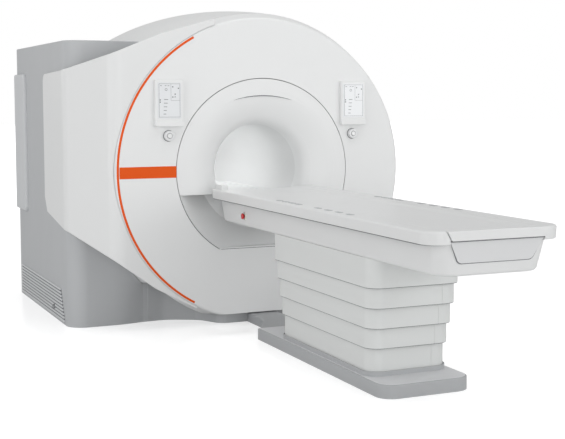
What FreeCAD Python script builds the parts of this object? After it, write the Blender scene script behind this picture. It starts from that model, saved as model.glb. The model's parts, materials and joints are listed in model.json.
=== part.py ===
import FreeCAD, Part
import os
import re
import Sketcher

# Closed-bore magnetic resonance scanner with its patient table.
# Frame: X across, Y along the bore (the table lies towards -Y), Z up. The origin is on the floor
# under the magnet's isocentre. All sizes are in millimetres.

DIMENSIONS = {
    # bore and magnet
    "axis_height": 1019.0,
    "bore_radius": 300.0,
    "liner_wall": 6.0,
    "seat_gap": 0.3,
    "liner_reach": 25.0,
    "body_coil_wall": 17.7,
    "body_coil_half": 320.0,
    "gradient_wall": 95.4,
    "gradient_inset": 110.0,
    "vessel_radius": 940.0,
    "vessel_wall": 12.0,
    "shield_space": 28.0,
    "shield_wall": 5.0,
    "former_space": 24.0,
    "former_wall": 10.0,
    "winding_depth": 62.0,
    "winding_width": 110.0,
    "winding_end": 197.5,
    "foot_inner": 340.0,
    "foot_width": 220.0,
    "foot_depth": 200.0,
    "foot_flange": 120.0,
    "foot_flange_thick": 25.0,
    "foot_spacing": 840.0,
    "anchor_spacing": 1260.0,
    "anchor_radius": 13.0,
    "turret_x": 520.0,
    "turret_radius": 95.0,
    "turret_drop": 79.0,
    "cold_head_radius": 58.0,
    "cold_head_height": 45.0,
    "strut_radius": 14.0,
    "strut_place": 520.0,
    # gantry covers
    "front_face": 965.0,
    "rear_extra": 35.0,
    "magnet_setback": 205.0,
    "cover_space": 56.0,
    "cover_wall": 8.0,
    "shoulder_step": 26.0,
    "shoulder_depth": 80.0,
    "rim_step": 35.0,
    "rim_depth": 103.0,
    "seam_gap": 3.0,
    "seam_step": 2.0,
    "rear_step": 66.0,
    "rear_shoulder": 70.0,
    "rear_round": 34.0,
    "mantle_bulge": 8900.0,
    "mantle_wall": 7.0,
    "cover_bottom": 70.0,
    "frame_step": 15.0,
    "funnel_flare": 299.0,
    "funnel_mouth": 232.0,
    "funnel_depth": 150.0,
    "funnel_outer_arc": 344.0,
    "funnel_lip_arc": 120.0,
    "funnel_turn": 60.0,
    "funnel_turn_depth": 46.1,
    "split_drop": 154.0,
    "floor_drop": 514.0,
    "tub_flare": 100.0,
    "joint_gap": 2.0,
    "rear_funnel_flare": 260.0,
    # wing and accent
    "wing_wall": 21.0,
    "wing_setback": 56.0,
    "wing_side_rear": 45.0,
    "wing_corner": 126.0,
    "wing_slope": 51.7,
    "wing_bend": 134.0,
    "wing_side_rise": 649.0,
    "wing_mid_x": 690.0,
    "wing_mid_rise": 881.0,
    "wing_end_x": 330.0,
    "wing_end_rise": 983.0,
    "wing_side_drop": 374.0,
    "wing_rear_drop": 302.0,
    "wing_low_mid_x": 742.0,
    "wing_mid_drop": 749.0,
    "wing_low_end_x": 470.0,
    "wing_end_drop": 898.0,
    "wing_tuck": 60.0,
    "accent_inset": 13.0,
    "accent_width": 21.0,
    "accent_thick": 2.0,
    "accent_start": 119.0,
    "accent_sweep": 121.3,
    "band_height": 74.0,
    "band_thick": 1.5,
    # side cabinet and plinth
    "cabinet_space": 289.0,
    "cabinet_setback": 304.0,
    "cabinet_rear_setback": 10.0,
    "cabinet_corner": 118.0,
    "cabinet_bend_x": 883.0,
    "cabinet_inner": 735.0,
    "cabinet_sweep": 36.0,
    "cabinet_height": 1860.0,
    "cabinet_wall": 6.0,
    "envelope_gap": 3.0,
    "side_panel_thick": 22.0,
    "side_panel_front": 645.0,
    "side_panel_low": 655.0,
    "side_panel_high": 1668.0,
    "side_panel_corner": 40.0,
    "slat_count": 10.0,
    "slat_pitch": 22.0,
    "slat_height": 11.0,
    "slat_thick": 9.0,
    "slat_low": 20.0,
    "slat_front_gap": 201.0,
    "slat_rear_gap": 65.0,
    "lock_y": 216.0,
    "lock_z": 81.0,
    "lock_radius": 13.0,
    "lock_height": 18.0,
    "lock_clearance": 5.0,
    "plinth_height": 300.0,
    "plinth_rear_setback": 100.0,
    "plinth_sweep": 48.0,
    "plinth_middle_x": 560.0,
    "plinth_wall": 6.0,
    "toe_setback": 60.0,
    "toe_half": 290.0,
    "toe_flank_x": 371.0,
    "toe_flank": 183.0,
    "toe_height": 62.0,
    "rack_height": 380.0,
    "rack_inner": 930.0,
    "rack_gap": 50.0,
    "rack_front_gap": 63.0,
    "rack_rear_gap": 90.0,
    "upper_rack_drop": 200.0,
    "upper_rack_inset": 30.0,
    "upper_rack_clearance": 20.0,
    "upper_rack_height": 170.0,
    "upper_rack_front_gap": 241.0,
    "upper_rack_rear_gap": 490.0,
    # control panels and knobs on the front cover
    "panel_x": 650.0,
    "panel_width": 186.0,
    "panel_rise": 291.0,
    "panel_height": 296.0,
    "panel_thick": 26.0,
    "panel_lip": 34.0,
    "panel_lip_thick": 9.0,
    "display_margin": 16.0,
    "display_thick": 2.0,
    "knob_rise": 231.0,
    "knob_radius": 33.0,
    "knob_height": 27.0,
    "knob_bore": 17.0,
    "knob_gap": 1.8,
    "button_gap": 0.5,
    "button_travel": 2.0,
    "button_stand": 2.5,
    "stem_radius": 8.0,
    "stem_reach": 16.0,
    "stem_clearance": 0.05,
    # in-bore bridge
    "bridge_gap": 4.0,
    "bridge_half": 238.0,
    "bridge_depth": 40.0,
    "bridge_foot_half": 204.0,
    "bridge_setback": 15.0,
    "bridge_rear": 365.0,
    "bridge_leg_x": 100.0,
    "bridge_leg_wide": 30.0,
    # table
    "bed_drop": 116.0,
    "cover_clearance": 10.0,
    "table_front": 3807.0,
    "tabletop_thick": 46.0,
    "tabletop_low_half": 245.0,
    "tabletop_high_half": 270.0,
    "tabletop_edge": 44.0,
    "tabletop_slope": 30.0,
    "tabletop_dish": 8.0,
    "channel_gap": 3.0,
    "rail_gap": 0.3,
    "rail_x": 150.0,
    "rail_width": 20.0,
    "rail_end_gap": 30.0,
    "table_rim_half": 365.0,
    "rim_height": 63.0,
    "table_web": 15.0,
    "table_rim_corner": 100.0,
    "tongue_reach": 9.0,
    "table_depth": 213.0,
    "housing_low_half": 278.0,
    "housing_high_half": 302.0,
    "housing_setback": 22.0,
    "housing_rake": 30.0,
    "housing_wall": 8.0,
    "end_panel_thick": 7.0,
    "end_panel_drop": 151.0,
    "end_panel_low_half": 197.0,
    "end_panel_high_half": 251.0,
    "estop_y": 1372.0,
    "estop_drop": 146.0,
    "estop_radius": 16.5,
    "estop_head": 10.0,
    "estop_travel": 4.0,
    "estop_stem": 9.0,
    "collar_radius": 25.0,
    "collar_stand": 8.0,
    "collar_depth": 26.0,
    # lifting pedestal
    "lift_travel": 390.0,
    "shell_half": 231.0,
    "shell_front": 2972.0,
    "shell_rear": 1800.0,
    "shell_corner": 80.0,
    "shell_wall": 5.0,
    "shell_side_step": 9.5,
    "shell_front_step": 21.0,
    "shell_rear_step": 14.0,
    "shell_lowest": 110.0,
    "shell_pitch": 107.0,
    "shell_overlap": 18.0,
    "shell_lip": 8.0,
    "shell_slide": 0.5,
    "base_margin": 28.0,
    "base_front_margin": 204.0,
    "base_rear": 1500.0,
    "base_height": 70.0,
    "base_corner": 88.0,
    "trim_width": 10.0,
    "trim_height": 26.0,
    "duct_half": 100.0,
    "duct_inset": 20.0,
    "duct_straight": 280.0,
    "duct_height": 62.0,
    "lift_tube_radius": 60.0,
    "lift_tube_wall": 6.0,
    "lift_tube_slide": 0.5,
    "tube_overlap": 31.0,
    "tube_rest_gap": 1.0,
    "lift_tube_rear": 2080.0,
    "lift_tube_front": 2700.0,
    "lift_motor_y": 2390.0,
    "lift_motor_radius": 62.0,
    "lift_motor_height": 130.0,
    "drive_y": 1500.0,
    "drive_length": 260.0,
    "drive_width": 150.0,
    "drive_height": 110.0,
}

# Sizes and places that follow from the dimensions above.
PLACES = {
    "rear_face": "front_face + rear_extra",
    "vessel_half": "front_face - magnet_setback",
    "gradient_half": "vessel_half - gradient_inset",
    "winding_pitch": "(vessel_half - winding_end) / 2.5",
    "liner_front": "front_face - funnel_depth - liner_reach",
    "liner_rear": "rear_face - funnel_depth - liner_reach",
    "turret_top": "axis_height + vessel_radius - turret_drop",
    "frame_radius": "vessel_radius - frame_step",
    "disc_radius": "vessel_radius + cover_space",
    "shoulder_radius": "disc_radius + shoulder_step",
    "rim_radius": "disc_radius + rim_step",
    "mantle_front": "front_face - rim_depth - seam_gap",
    "mantle_rear": "rear_face - rear_shoulder",
    "mantle_front_radius": "rim_radius + seam_step",
    "mantle_rear_radius": "disc_radius + rear_step",
    "funnel_radius": "bore_radius + funnel_flare",
    "funnel_flat": "bore_radius + funnel_mouth",
    "funnel_turn_radius": "bore_radius + funnel_turn",
    "rear_funnel_radius": "bore_radius + rear_funnel_flare",
    "funnel_split": "axis_height - split_drop",
    "funnel_bottom": "axis_height - floor_drop",
    "tub_radius": "bore_radius + tub_flare",
    "wing_side_front": "cabinet_front - wing_setback",
    "wing_top_side": "axis_height + wing_side_rise",
    "wing_top_mid": "axis_height + wing_mid_rise",
    "wing_top_end": "axis_height + wing_end_rise",
    "wing_low_side": "axis_height - wing_side_drop",
    "wing_rear_low": "axis_height - wing_rear_drop",
    "wing_low_mid": "axis_height - wing_mid_drop",
    "wing_low_end": "axis_height - wing_end_drop",
    "accent_radius": "disc_radius - accent_inset",
    "cabinet_side": "vessel_radius + cabinet_space",
    "cabinet_front": "front_face - cabinet_setback",
    "cabinet_rear": "rear_face - cabinet_rear_setback",
    "cabinet_inner_y": "cabinet_front - cabinet_sweep",
    "slat_front": "cabinet_front - slat_front_gap",
    "slat_rear": "cabinet_rear - slat_rear_gap",
    "rack_depth": "(cabinet_rear - rack_rear_gap + cabinet_front - cabinet_corner - rack_front_gap)",
    "rack_length": "(rack_depth - rack_gap) / 2",
    "plinth_rear": "rear_face - plinth_rear_setback",
    "plinth_middle": "cabinet_front - plinth_sweep",
    "toe_front": "front_face - toe_setback",
    "panel_low": "axis_height + panel_rise",
    "knob_z": "axis_height + knob_rise",
    "tabletop_high": "axis_height - bed_drop",
    "tabletop_low": "tabletop_high - tabletop_thick",
    "bridge_top": "tabletop_low - bridge_gap",
    "bridge_front": "front_face - bridge_setback",
    "table_rear": "front_face + cover_clearance",
    "table_rim_front": "table_front - tongue_reach",
    "table_rim_low": "tabletop_high - rim_height",
    "housing_low": "tabletop_high - table_depth",
    "mantle_widest": "(mantle_front_radius + mantle_rear_radius) / 2"
                     " + (mantle_front + mantle_rear) ^ 2 / (8 * mantle_bulge)",
    "upper_rack_low": "cabinet_height - upper_rack_drop",
    "upper_rack_inner": "max(rack_inner + upper_rack_inset; upper_rack_clearance"
                        " + sqrt(mantle_widest ^ 2 - (upper_rack_low - axis_height) ^ 2))",
    "housing_front_high": "table_front - housing_setback",
    "housing_front_low": "housing_front_high - housing_rake",
    "end_panel_low": "tabletop_high - end_panel_drop",
    "estop_z": "tabletop_high - estop_drop",
    "collar_face": "housing_low_half + collar_stand + 11",
    "base_half": "shell_half + base_margin",
    "base_front": "shell_front + base_front_margin",
    "lift_tube_height": "lift_travel / 2 + tube_overlap",
}

doc = FreeCAD.newDocument("scanner")
sheet = doc.addObject("Spreadsheet::Sheet", "Dims")
for row, (alias, size) in enumerate(DIMENSIONS.items(), start=1):
    sheet.set("A%d" % row, alias)
    sheet.set("B%d" % row, str(size))
    sheet.setAlias("B%d" % row, alias)
doc.recompute()

NODES = []
UP = FreeCAD.Vector(0, 0, 1)
ALONG_Y = FreeCAD.Rotation(FreeCAD.Vector(1, 0, 0), -90)
ALONG_X = FreeCAD.Rotation(FreeCAD.Vector(0, 1, 0), 90)
VIEWS = {
    # rotation of the sketch plane, and the axes that its own x and y run along
    "plan": FreeCAD.Rotation(),
    "front": FreeCAD.Rotation(FreeCAD.Vector(1, 0, 0), 90),
    "side": FreeCAD.Rotation(FreeCAD.Vector(1, 1, 1), 120),
}


def bind(formula):
    """The formula with each name turned into its cell in the sheet, or what it follows from."""
    def cell(match):
        word = match.group(0)
        if word in PLACES:
            return "(%s)" % bind(PLACES[word])
        return "Dims." + word if word in DIMENSIONS else word
    return re.sub(r"[a-z_]+", cell, formula)


def number(formula):
    """Today's value of a formula, in millimetres."""
    result = sheet.evalExpression(bind(formula))
    return float(getattr(result, "Value", result))


def place(obj, x="0", y="0", z="0", turn=None):
    """Put an object at a point whose coordinates are formulas."""
    obj.Placement = FreeCAD.Placement(FreeCAD.Vector(), turn or FreeCAD.Rotation())
    for axis, formula in zip("xyz", (x, y, z)):
        obj.setExpression("Placement.Base." + axis, bind(formula))
    return obj


def box(low, high):
    """A block between two corners, each given as three formulas."""
    obj = doc.addObject("Part::Box", "Block")
    for side, a, b in zip(("Length", "Width", "Height"), low, high):
        obj.setExpression(side, bind("(%s) - (%s)" % (b, a)))
    return place(obj, *low)


def cylinder(radius, length, x, y, z, turn=None):
    """A round bar that starts at a point and runs up, or along the turned axis."""
    obj = doc.addObject("Part::Cylinder", "Bar")
    obj.setExpression("Radius", bind(radius))
    obj.setExpression("Height", bind(length))
    return place(obj, x, y, z, turn)


def join(*shapes):
    """One solid made of several that touch or overlap."""
    obj = doc.addObject("Part::MultiFuse", "Joined")
    obj.Shapes = list(shapes)
    return obj


def group(*shapes):
    """Separate solids kept in one node."""
    obj = doc.addObject("Part::Compound", "Group")
    obj.Links = list(shapes)
    return obj


def cut(base, *tools):
    """The base with each tool's space taken out of it."""
    for tool in tools:
        obj = doc.addObject("Part::Cut", "Cut")
        obj.Base = base
        obj.Tool = tool
        base = obj
    return base


def common(first, second):
    """The space that two shapes share."""
    obj = doc.addObject("Part::Common", "Common")
    obj.Base = first
    obj.Tool = second
    return obj


def outline(view, corners):
    """A closed sketch. A corner is (x, y), or (x, y, radius, turn) when an arc leads to it.

    The turn is "left" when the arc bends to the left on its way, or "right"."""
    sketch = doc.addObject("Sketcher::SketchObject", "Outline")
    sketch.Placement = FreeCAD.Placement(FreeCAD.Vector(), VIEWS[view])
    points = [FreeCAD.Vector(number(c[0]), number(c[1]), 0) for c in corners]
    ends = []
    for index, corner in enumerate(corners):
        start, stop = points[index - 1], points[index]
        if len(corner) == 2:
            sketch.addGeometry(Part.LineSegment(start, stop), False)
            ends.append((index, 1, 2))
            continue
        radius = number(corner[2])
        chord = stop - start
        middle = (start + stop) * 0.5
        rise = (radius ** 2 - (chord.Length / 2) ** 2) ** 0.5
        side = 1 if corner[3] == "left" else -1
        normal = FreeCAD.Vector(-chord.y, chord.x, 0).normalize() * side
        centre = middle + normal * rise
        first, last = (start, stop) if side > 0 else (stop, start)
        axis = FreeCAD.Vector(1, 0, 0)
        angles = [axis.getAngle(p - centre) * (1 if p.y >= centre.y else -1) for p in (first, last)]
        circle = Part.Circle(centre, UP, radius)
        sketch.addGeometry(Part.ArcOfCircle(circle, angles[0], angles[1]), False)
        ends.append((index, 1, 2) if side > 0 else (index, 2, 1))
    for index, corner in enumerate(corners):
        geometry, start, stop = ends[index]
        following = ends[(index + 1) % len(corners)]
        sketch.addConstraint(Sketcher.Constraint("Coincident", geometry, stop, following[0], following[1]))
        for kind, formula, value in (
            ("DistanceX", corner[0], points[index].x),
            ("DistanceY", corner[1], points[index].y),
        ):
            rule = sketch.addConstraint(Sketcher.Constraint(kind, -1, 1, geometry, stop, value))
            sketch.setExpression("Constraints[%d]" % rule, bind(formula))
        if len(corner) == 4:
            rule = sketch.addConstraint(Sketcher.Constraint("Radius", geometry, number(corner[2])))
            sketch.setExpression("Constraints[%d]" % rule, bind(corner[2]))
    return sketch


def prism(view, corners, low, high):
    """An outline pushed between two distances along the view's own axis.

    The distances run along Z for a plan, along Y for a front view and along X for a side view."""
    sketch = outline(view, corners)
    obj = doc.addObject("Part::Extrusion", "Prism")
    obj.Base = sketch
    obj.DirMode = "Custom"
    obj.Dir = {"plan": UP, "front": FreeCAD.Vector(0, 1, 0), "side": FreeCAD.Vector(1, 0, 0)}[view]
    obj.Solid = True
    obj.setExpression("LengthFwd", bind(high))
    obj.setExpression("LengthRev", bind("-(%s)" % low))
    return obj


def turned(corners):
    """A ring about the bore axis from corners given as (place along Y, radius, ...)."""
    lifted = [(c[0], "axis_height + (%s)" % c[1]) + tuple(c[2:]) for c in corners]
    obj = doc.addObject("Part::Revolution", "Turned")
    obj.Source = outline("side", lifted)
    obj.Axis = FreeCAD.Vector(0, 1, 0)
    obj.Base = FreeCAD.Vector(0, 0, 0)
    obj.setExpression("Base.z", bind("axis_height"))
    obj.Angle = 360
    obj.Solid = True
    return obj


def ring(inner, outer, front, rear):
    """A plain tube about the bore axis."""
    return turned([(front, inner), (rear, inner), (rear, outer), (front, outer)])


def bore_bar(radius, front, rear):
    """A solid round bar on the bore axis, used to cut other pieces to fit round it."""
    return cylinder(radius, "(%s) - (%s)" % (rear, front), "0", front, "axis_height", ALONG_Y)


def rounded_plan(half, front, rear, corner, low, high):
    """An upright block with rounded corners, from Y = -front to Y = -rear."""
    corners = [
        ("-(%s) + %s" % (half, corner), "-(%s)" % front),
        ("(%s) - %s" % (half, corner), "-(%s)" % front),
        (half, "-(%s) + %s" % (front, corner), corner, "left"),
        (half, "-(%s) - %s" % (rear, corner)),
        ("(%s) - %s" % (half, corner), "-(%s)" % rear, corner, "left"),
        ("-(%s) + %s" % (half, corner), "-(%s)" % rear),
        ("-(%s)" % half, "-(%s) - %s" % (rear, corner), corner, "left"),
        ("-(%s)" % half, "-(%s) + %s" % (front, corner)),
    ]
    corners.append(("-(%s) + %s" % (half, corner), "-(%s)" % front, corner, "left"))
    return prism("plan", corners[1:], low, high)


def node(label, obj):
    """Name a finished piece, which also names its file."""
    obj.Label = label
    NODES.append(obj)
    return obj


def envelope(gap):
    """The outer form of disc, shoulder and mantle, grown by a gap, as one solid to cut with."""
    return turned([
        ("-front_face - 400", "0"),
        ("-front_face - 400", "disc_radius + %s" % gap),
        ("-front_face", "disc_radius + %s" % gap),
        ("-front_face + shoulder_depth", "shoulder_radius + %s" % gap),
        ("-mantle_front", "mantle_front_radius + %s" % gap),
        ("mantle_rear", "mantle_rear_radius + %s" % gap, "mantle_bulge + %s" % gap, "right"),
        ("rear_face + 400", "mantle_rear_radius + %s" % gap),
        ("rear_face + 400", "0"),
    ])


# ---- magnet, from the bore outwards ----

def magnet():
    liner = "bore_radius + liner_wall"
    body_coil = liner + " + seat_gap"
    gradient = body_coil + " + body_coil_wall + seat_gap"
    vessel = gradient + " + gradient_wall + seat_gap"
    node("bore_liner", ring("bore_radius", liner, "-liner_front", "liner_rear"))
    node("body_coil", ring(body_coil, body_coil + " + body_coil_wall", "-body_coil_half", "body_coil_half"))
    node("gradient_coil", ring(gradient, gradient + " + gradient_wall", "-gradient_half", "gradient_half"))

    def hollow(inset, wall):
        """A closed hollow drum that sits the inset inside the vessel's outer form."""
        sizes = []
        for depth in (inset, "%s + %s" % (inset, wall)):
            sizes.append(ring(
                "%s + %s" % (vessel, depth), "vessel_radius - (%s)" % depth,
                "-vessel_half + %s" % depth, "vessel_half - (%s)" % depth))
        return cut(*sizes)

    shield = "vessel_wall + shield_space"
    former = shield + " + shield_wall + former_space"
    node("magnet_vessel", hollow("0", "vessel_wall"))
    strut_start = "(vessel_half - (%s) + seat_gap)" % former
    strut_length = "((%s) - vessel_wall - seat_gap * 2)" % former
    struts = []
    for x_sign, z_sign in ((-1, -1), (1, -1), (1, 1), (-1, 1)):
        for start in (strut_start, "-%s - %s" % (strut_start, strut_length)):
            struts.append(cylinder(
                "strut_radius", strut_length, "strut_place * %d" % x_sign, start,
                "axis_height + strut_place * %d" % z_sign, ALONG_Y))
    node("thermal_shield", join(hollow(shield, "shield_wall"), *struts))
    node("helium_vessel", hollow(former, "former_wall"))
    spool = "%s + %s + former_wall + seat_gap" % (vessel, former)
    windings = []
    for place_number in (-2.5, -1.5, -0.5, 0.5, 1.5, 2.5):
        middle = "winding_pitch * %s" % place_number
        windings.append(ring(
            spool, spool + " + winding_depth",
            middle + " - winding_width / 2", middle + " + winding_width / 2"))
    node("superconducting_windings", group(*windings))

    vessel_bar = ("vessel_radius + seat_gap", "-vessel_half", "vessel_half")
    feet = []
    for x_sign, y_sign in ((-1, -1), (1, -1), (1, 1), (-1, 1)):
        y_low = "foot_spacing / 2 * %d - foot_depth / 2" % y_sign
        y_high = "foot_spacing / 2 * %d + foot_depth / 2" % y_sign
        x_ends = ("foot_inner * %d" % x_sign, "(foot_inner + foot_width) * %d" % x_sign)
        flange_ends = (x_ends[0], "(foot_inner + foot_width + foot_flange) * %d" % x_sign)
        low, high = x_ends if x_sign > 0 else x_ends[::-1]
        flange_low, flange_high = flange_ends if x_sign > 0 else flange_ends[::-1]
        post = box((low, y_low, "0"), (high, y_high, "axis_height - vessel_radius / 2"))
        flange = box((flange_low, y_low, "0"), (flange_high, y_high, "foot_flange_thick"))
        hole = cylinder(
            "anchor_radius", "foot_flange_thick + 2", "anchor_spacing / 2 * %d" % x_sign,
            "foot_spacing / 2 * %d" % y_sign, "-1")
        feet.append(cut(join(post, flange), bore_bar(*vessel_bar), hole))
    node("magnet_feet", group(*feet))

    turret = cylinder("turret_radius", "turret_top - axis_height", "-turret_x", "0", "axis_height")
    node("service_turret", cut(turret, bore_bar(*vessel_bar)))
    node("cold_head", cylinder("cold_head_radius", "cold_head_height", "-turret_x", "0", "turret_top"))


# ---- gantry covers ----

def below(level, half="2000"):
    """Everything under a level, within a half width of the middle plane."""
    return box(("-(%s)" % half, "-3000", "-500"), (half, "3000", level))


def covers():
    for end, face, radius, label in (
        ("-1", "front_face", "mantle_front_radius", "front_cover_frame"),
        ("1", "rear_face", "mantle_rear_radius", "rear_cover_frame"),
    ):
        edge = "mantle_front" if end == "-1" else "mantle_rear"
        inside = "%s * (%s - cover_wall)" % (end, face)
        rest = "%s * vessel_half" % end
        flange = "%s * (%s - 1)" % (end, edge)
        flange_back = "%s * (%s - 9)" % (end, edge)
        hub = "frame_radius + 15"
        top = "%s - mantle_wall - seat_gap" % radius
        profile = turned([
            (rest, "frame_radius"), (inside, "frame_radius"), (inside, hub), (flange, hub),
            (flange, top), (flange_back, top), (flange_back, hub), (rest, hub),
        ])
        node(label, cut(profile, below("plinth_height + 100", "cabinet_inner + 7")))

    disc = turned([
        ("-front_face", "0"),
        ("-front_face", "disc_radius"),
        ("-front_face + shoulder_depth", "shoulder_radius"),
        ("-front_face + rim_depth", "rim_radius"),
        ("-front_face + rim_depth", "rim_radius - cover_wall"),
        ("-front_face + shoulder_depth", "shoulder_radius - cover_wall"),
        ("-front_face + cover_wall", "disc_radius - cover_wall"),
        ("-front_face + cover_wall", "0"),
    ])
    mouth = common(
        bore_bar("funnel_radius + joint_gap", "-front_face - 10", "-front_face + 20"),
        box(("-1000", "-front_face - 10", "funnel_bottom - joint_gap"), ("1000", "-front_face + 20", "2000")))
    shafts = [
        cylinder(
            "stem_radius + stem_clearance",
            "40", "panel_x * %d" % side, "-front_face - 10", "knob_z", ALONG_Y)
        for side in (-1, 1)
    ]
    node("front_cover", cut(disc, mouth, below("cover_bottom"), *shafts))

    def bell(face, sign, radius, inner_end):
        """A bell-mouthed ring from a cover's face into the bore."""
        def along(text):
            return "%s * (%s - (%s))" % (sign, face, text)
        bend = ("right", "left") if sign == "-1" else ("left", "right")
        turn_y = "funnel_turn_depth + cover_wall * 0.8660254"
        turn_r = "funnel_turn_radius + cover_wall * 0.5"
        return turned([
            (along("0"), radius),
            (along("0"), "funnel_flat"),
            (along("funnel_turn_depth"), "funnel_turn_radius", "funnel_outer_arc", bend[1]),
            (along("funnel_depth"), "bore_radius", "funnel_lip_arc", bend[1]),
            ("%s * %s" % (sign, inner_end), "bore_radius"),
            ("%s * %s" % (sign, inner_end), "bore_radius + cover_wall"),
            (along("funnel_depth"), "bore_radius + cover_wall"),
            (along(turn_y), turn_r, "funnel_lip_arc - cover_wall", bend[0]),
            (along("cover_wall"), "funnel_flat", "funnel_outer_arc - cover_wall", bend[0]),
            (along("cover_wall"), radius),
        ])

    front_bell = bell("front_face", "-1", "funnel_radius", "liner_front")
    node("funnel_upper", cut(front_bell, below("funnel_split")))
    node("rear_funnel", bell("rear_face", "1", "rear_funnel_radius", "liner_rear"))

    tub_back = "-front_face + funnel_depth"
    tub = turned([
        ("-front_face", "funnel_radius"),
        (tub_back, "tub_radius"),
        (tub_back, "bore_radius"),
        ("-liner_front", "bore_radius"),
        ("-liner_front", "bore_radius + cover_wall"),
        (tub_back + " + cover_wall", "bore_radius + cover_wall"),
        (tub_back + " + cover_wall", "tub_radius + cover_wall"),
        ("-front_face + cover_wall", "funnel_radius"),
    ])
    cone = turned([
        ("-front_face", "0"),
        ("-front_face", "funnel_radius"),
        (tub_back, "tub_radius"),
        (tub_back, "0"),
    ])
    floor = common(cone, box(
        ("-1000", "-front_face", "funnel_bottom"), ("1000", tub_back, "funnel_bottom + cover_wall")))
    tub_kept = cut(
        tub, below("funnel_bottom"),
        box(("-1000", "-1500", "funnel_split - joint_gap"), ("1000", "0", "2000")))
    node("funnel_lower", join(tub_kept, floor))

    mantle = turned([
        ("-mantle_front", "mantle_front_radius"),
        ("mantle_rear", "mantle_rear_radius", "mantle_bulge", "right"),
        ("mantle_rear", "mantle_rear_radius - mantle_wall"),
        ("-mantle_front", "mantle_front_radius - mantle_wall", "mantle_bulge - mantle_wall", "left"),
    ])
    node("mantle_cover", cut(mantle, below("plinth_height + 100", "cabinet_inner + 7")))

    rear = turned([
        ("rear_face", "rear_funnel_radius + joint_gap"),
        ("rear_face", "mantle_rear_radius - rear_round"),
        ("mantle_rear + seam_gap", "mantle_rear_radius"),
        ("mantle_rear + seam_gap", "mantle_rear_radius - cover_wall"),
        ("rear_face - cover_wall", "mantle_rear_radius - rear_round - cover_wall"),
        ("rear_face - cover_wall", "rear_funnel_radius + joint_gap"),
    ])
    node("rear_cover", cut(rear, below("cover_bottom")))


def wing():
    """The surround that runs from the disc to the cabinet's front corner and along its side."""
    side = "(cabinet_side + wing_wall)"
    corner_x = "(%s - wing_corner * (1 - sin(wing_slope)))" % side
    corner_y = "(wing_side_front + wing_corner * cos(wing_slope))"
    vertex_x = "(%s - (front_face - %s) / tan(wing_slope))" % (corner_x, corner_y)
    tangent = "wing_bend * tan(wing_slope / 2)"
    bend_x = "(%s + %s * cos(wing_slope))" % (vertex_x, tangent)
    bend_y = "(front_face - %s * sin(wing_slope))" % tangent
    in_x = "wing_wall * sin(wing_slope)"
    in_y = "wing_wall * cos(wing_slope)"
    skin = prism("plan", [
        ("-" + side, "-wing_side_rear"),
        ("-" + side, "-wing_side_front"),
        ("-" + corner_x, "-" + corner_y, "wing_corner", "left"),
        ("-" + bend_x, "-" + bend_y),
        ("-%s + %s" % (vertex_x, tangent), "-front_face", "wing_bend", "left"),
        ("-wing_low_end_x + 200", "-front_face"),
        ("-wing_low_end_x + 200", "-front_face + wing_wall"),
        ("-%s + %s" % (vertex_x, tangent), "-front_face + wing_wall"),
        ("-%s + %s" % (bend_x, in_x), "-%s + %s" % (bend_y, in_y), "wing_bend - wing_wall", "right"),
        ("-%s + %s" % (corner_x, in_x), "-%s + %s" % (corner_y, in_y)),
        ("-cabinet_side", "-wing_side_front", "wing_corner - wing_wall", "right"),
        ("-cabinet_side", "-wing_side_rear"),
    ], "0", "wing_top_end + 100")
    face = prism("front", [
        ("-%s - 50" % side, "wing_top_side"),
        ("-%s - 50" % side, "wing_low_side"),
        ("-" + side, "wing_low_side"),
        ("-wing_low_mid_x", "wing_low_mid"),
        ("-wing_low_end_x", "wing_low_end"),
        ("-wing_low_end_x + 100", "axis_height"),
        ("-wing_end_x", "wing_top_end"),
        ("-wing_mid_x", "wing_top_mid"),
        ("-" + side, "wing_top_side"),
    ], "-1500", "500")
    flank = prism("side", [
        ("-1200", "-100"),
        ("-wing_side_front", "wing_low_side - 600"),
        ("-wing_side_front", "wing_low_side"),
        ("-wing_side_rear - 70", "wing_rear_low"),
        ("-wing_side_rear", "wing_rear_low + 100"),
        ("-wing_side_rear", "wing_top_side - 14 - wing_tuck"),
        ("-wing_side_rear - wing_tuck", "wing_top_side - 14", "wing_tuck", "left"),
        ("-wing_side_front", "wing_top_side"),
        ("-wing_side_front", "wing_top_end + 100"),
        ("-1200", "wing_top_end + 100"),
    ], "-2000", "0")
    node("front_surround", cut(common(common(skin, face), flank), envelope("joint_gap")))

    half = "accent_width / 2"
    strip = ring(
        "accent_radius - " + half, "accent_radius + " + half, "-front_face - accent_thick", "-front_face")
    start = number("accent_start")
    sweep = number("accent_sweep")
    wedge = doc.addObject("Part::Cylinder", "Wedge")
    wedge.setExpression("Radius", bind("disc_radius * 2"))
    wedge.setExpression("Height", "50")
    wedge.setExpression("Angle", bind("accent_sweep"))
    turn = ALONG_Y.multiply(FreeCAD.Rotation(UP, -(start + sweep)))
    place(wedge, "0", "-front_face - 20", "axis_height", turn)
    node("accent_arc", common(strip, wedge))
    node("name_band", cut(
        box(
            ("-accent_radius", "-front_face - band_thick", "axis_height - band_height / 2"),
            ("-funnel_radius - joint_gap", "-front_face", "axis_height + band_height / 2")),
        ring("accent_radius - " + half, "accent_radius + 50", "-front_face - 20", "-front_face + 1")))


# ---- side cabinet, plinth and floor duct ----

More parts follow.
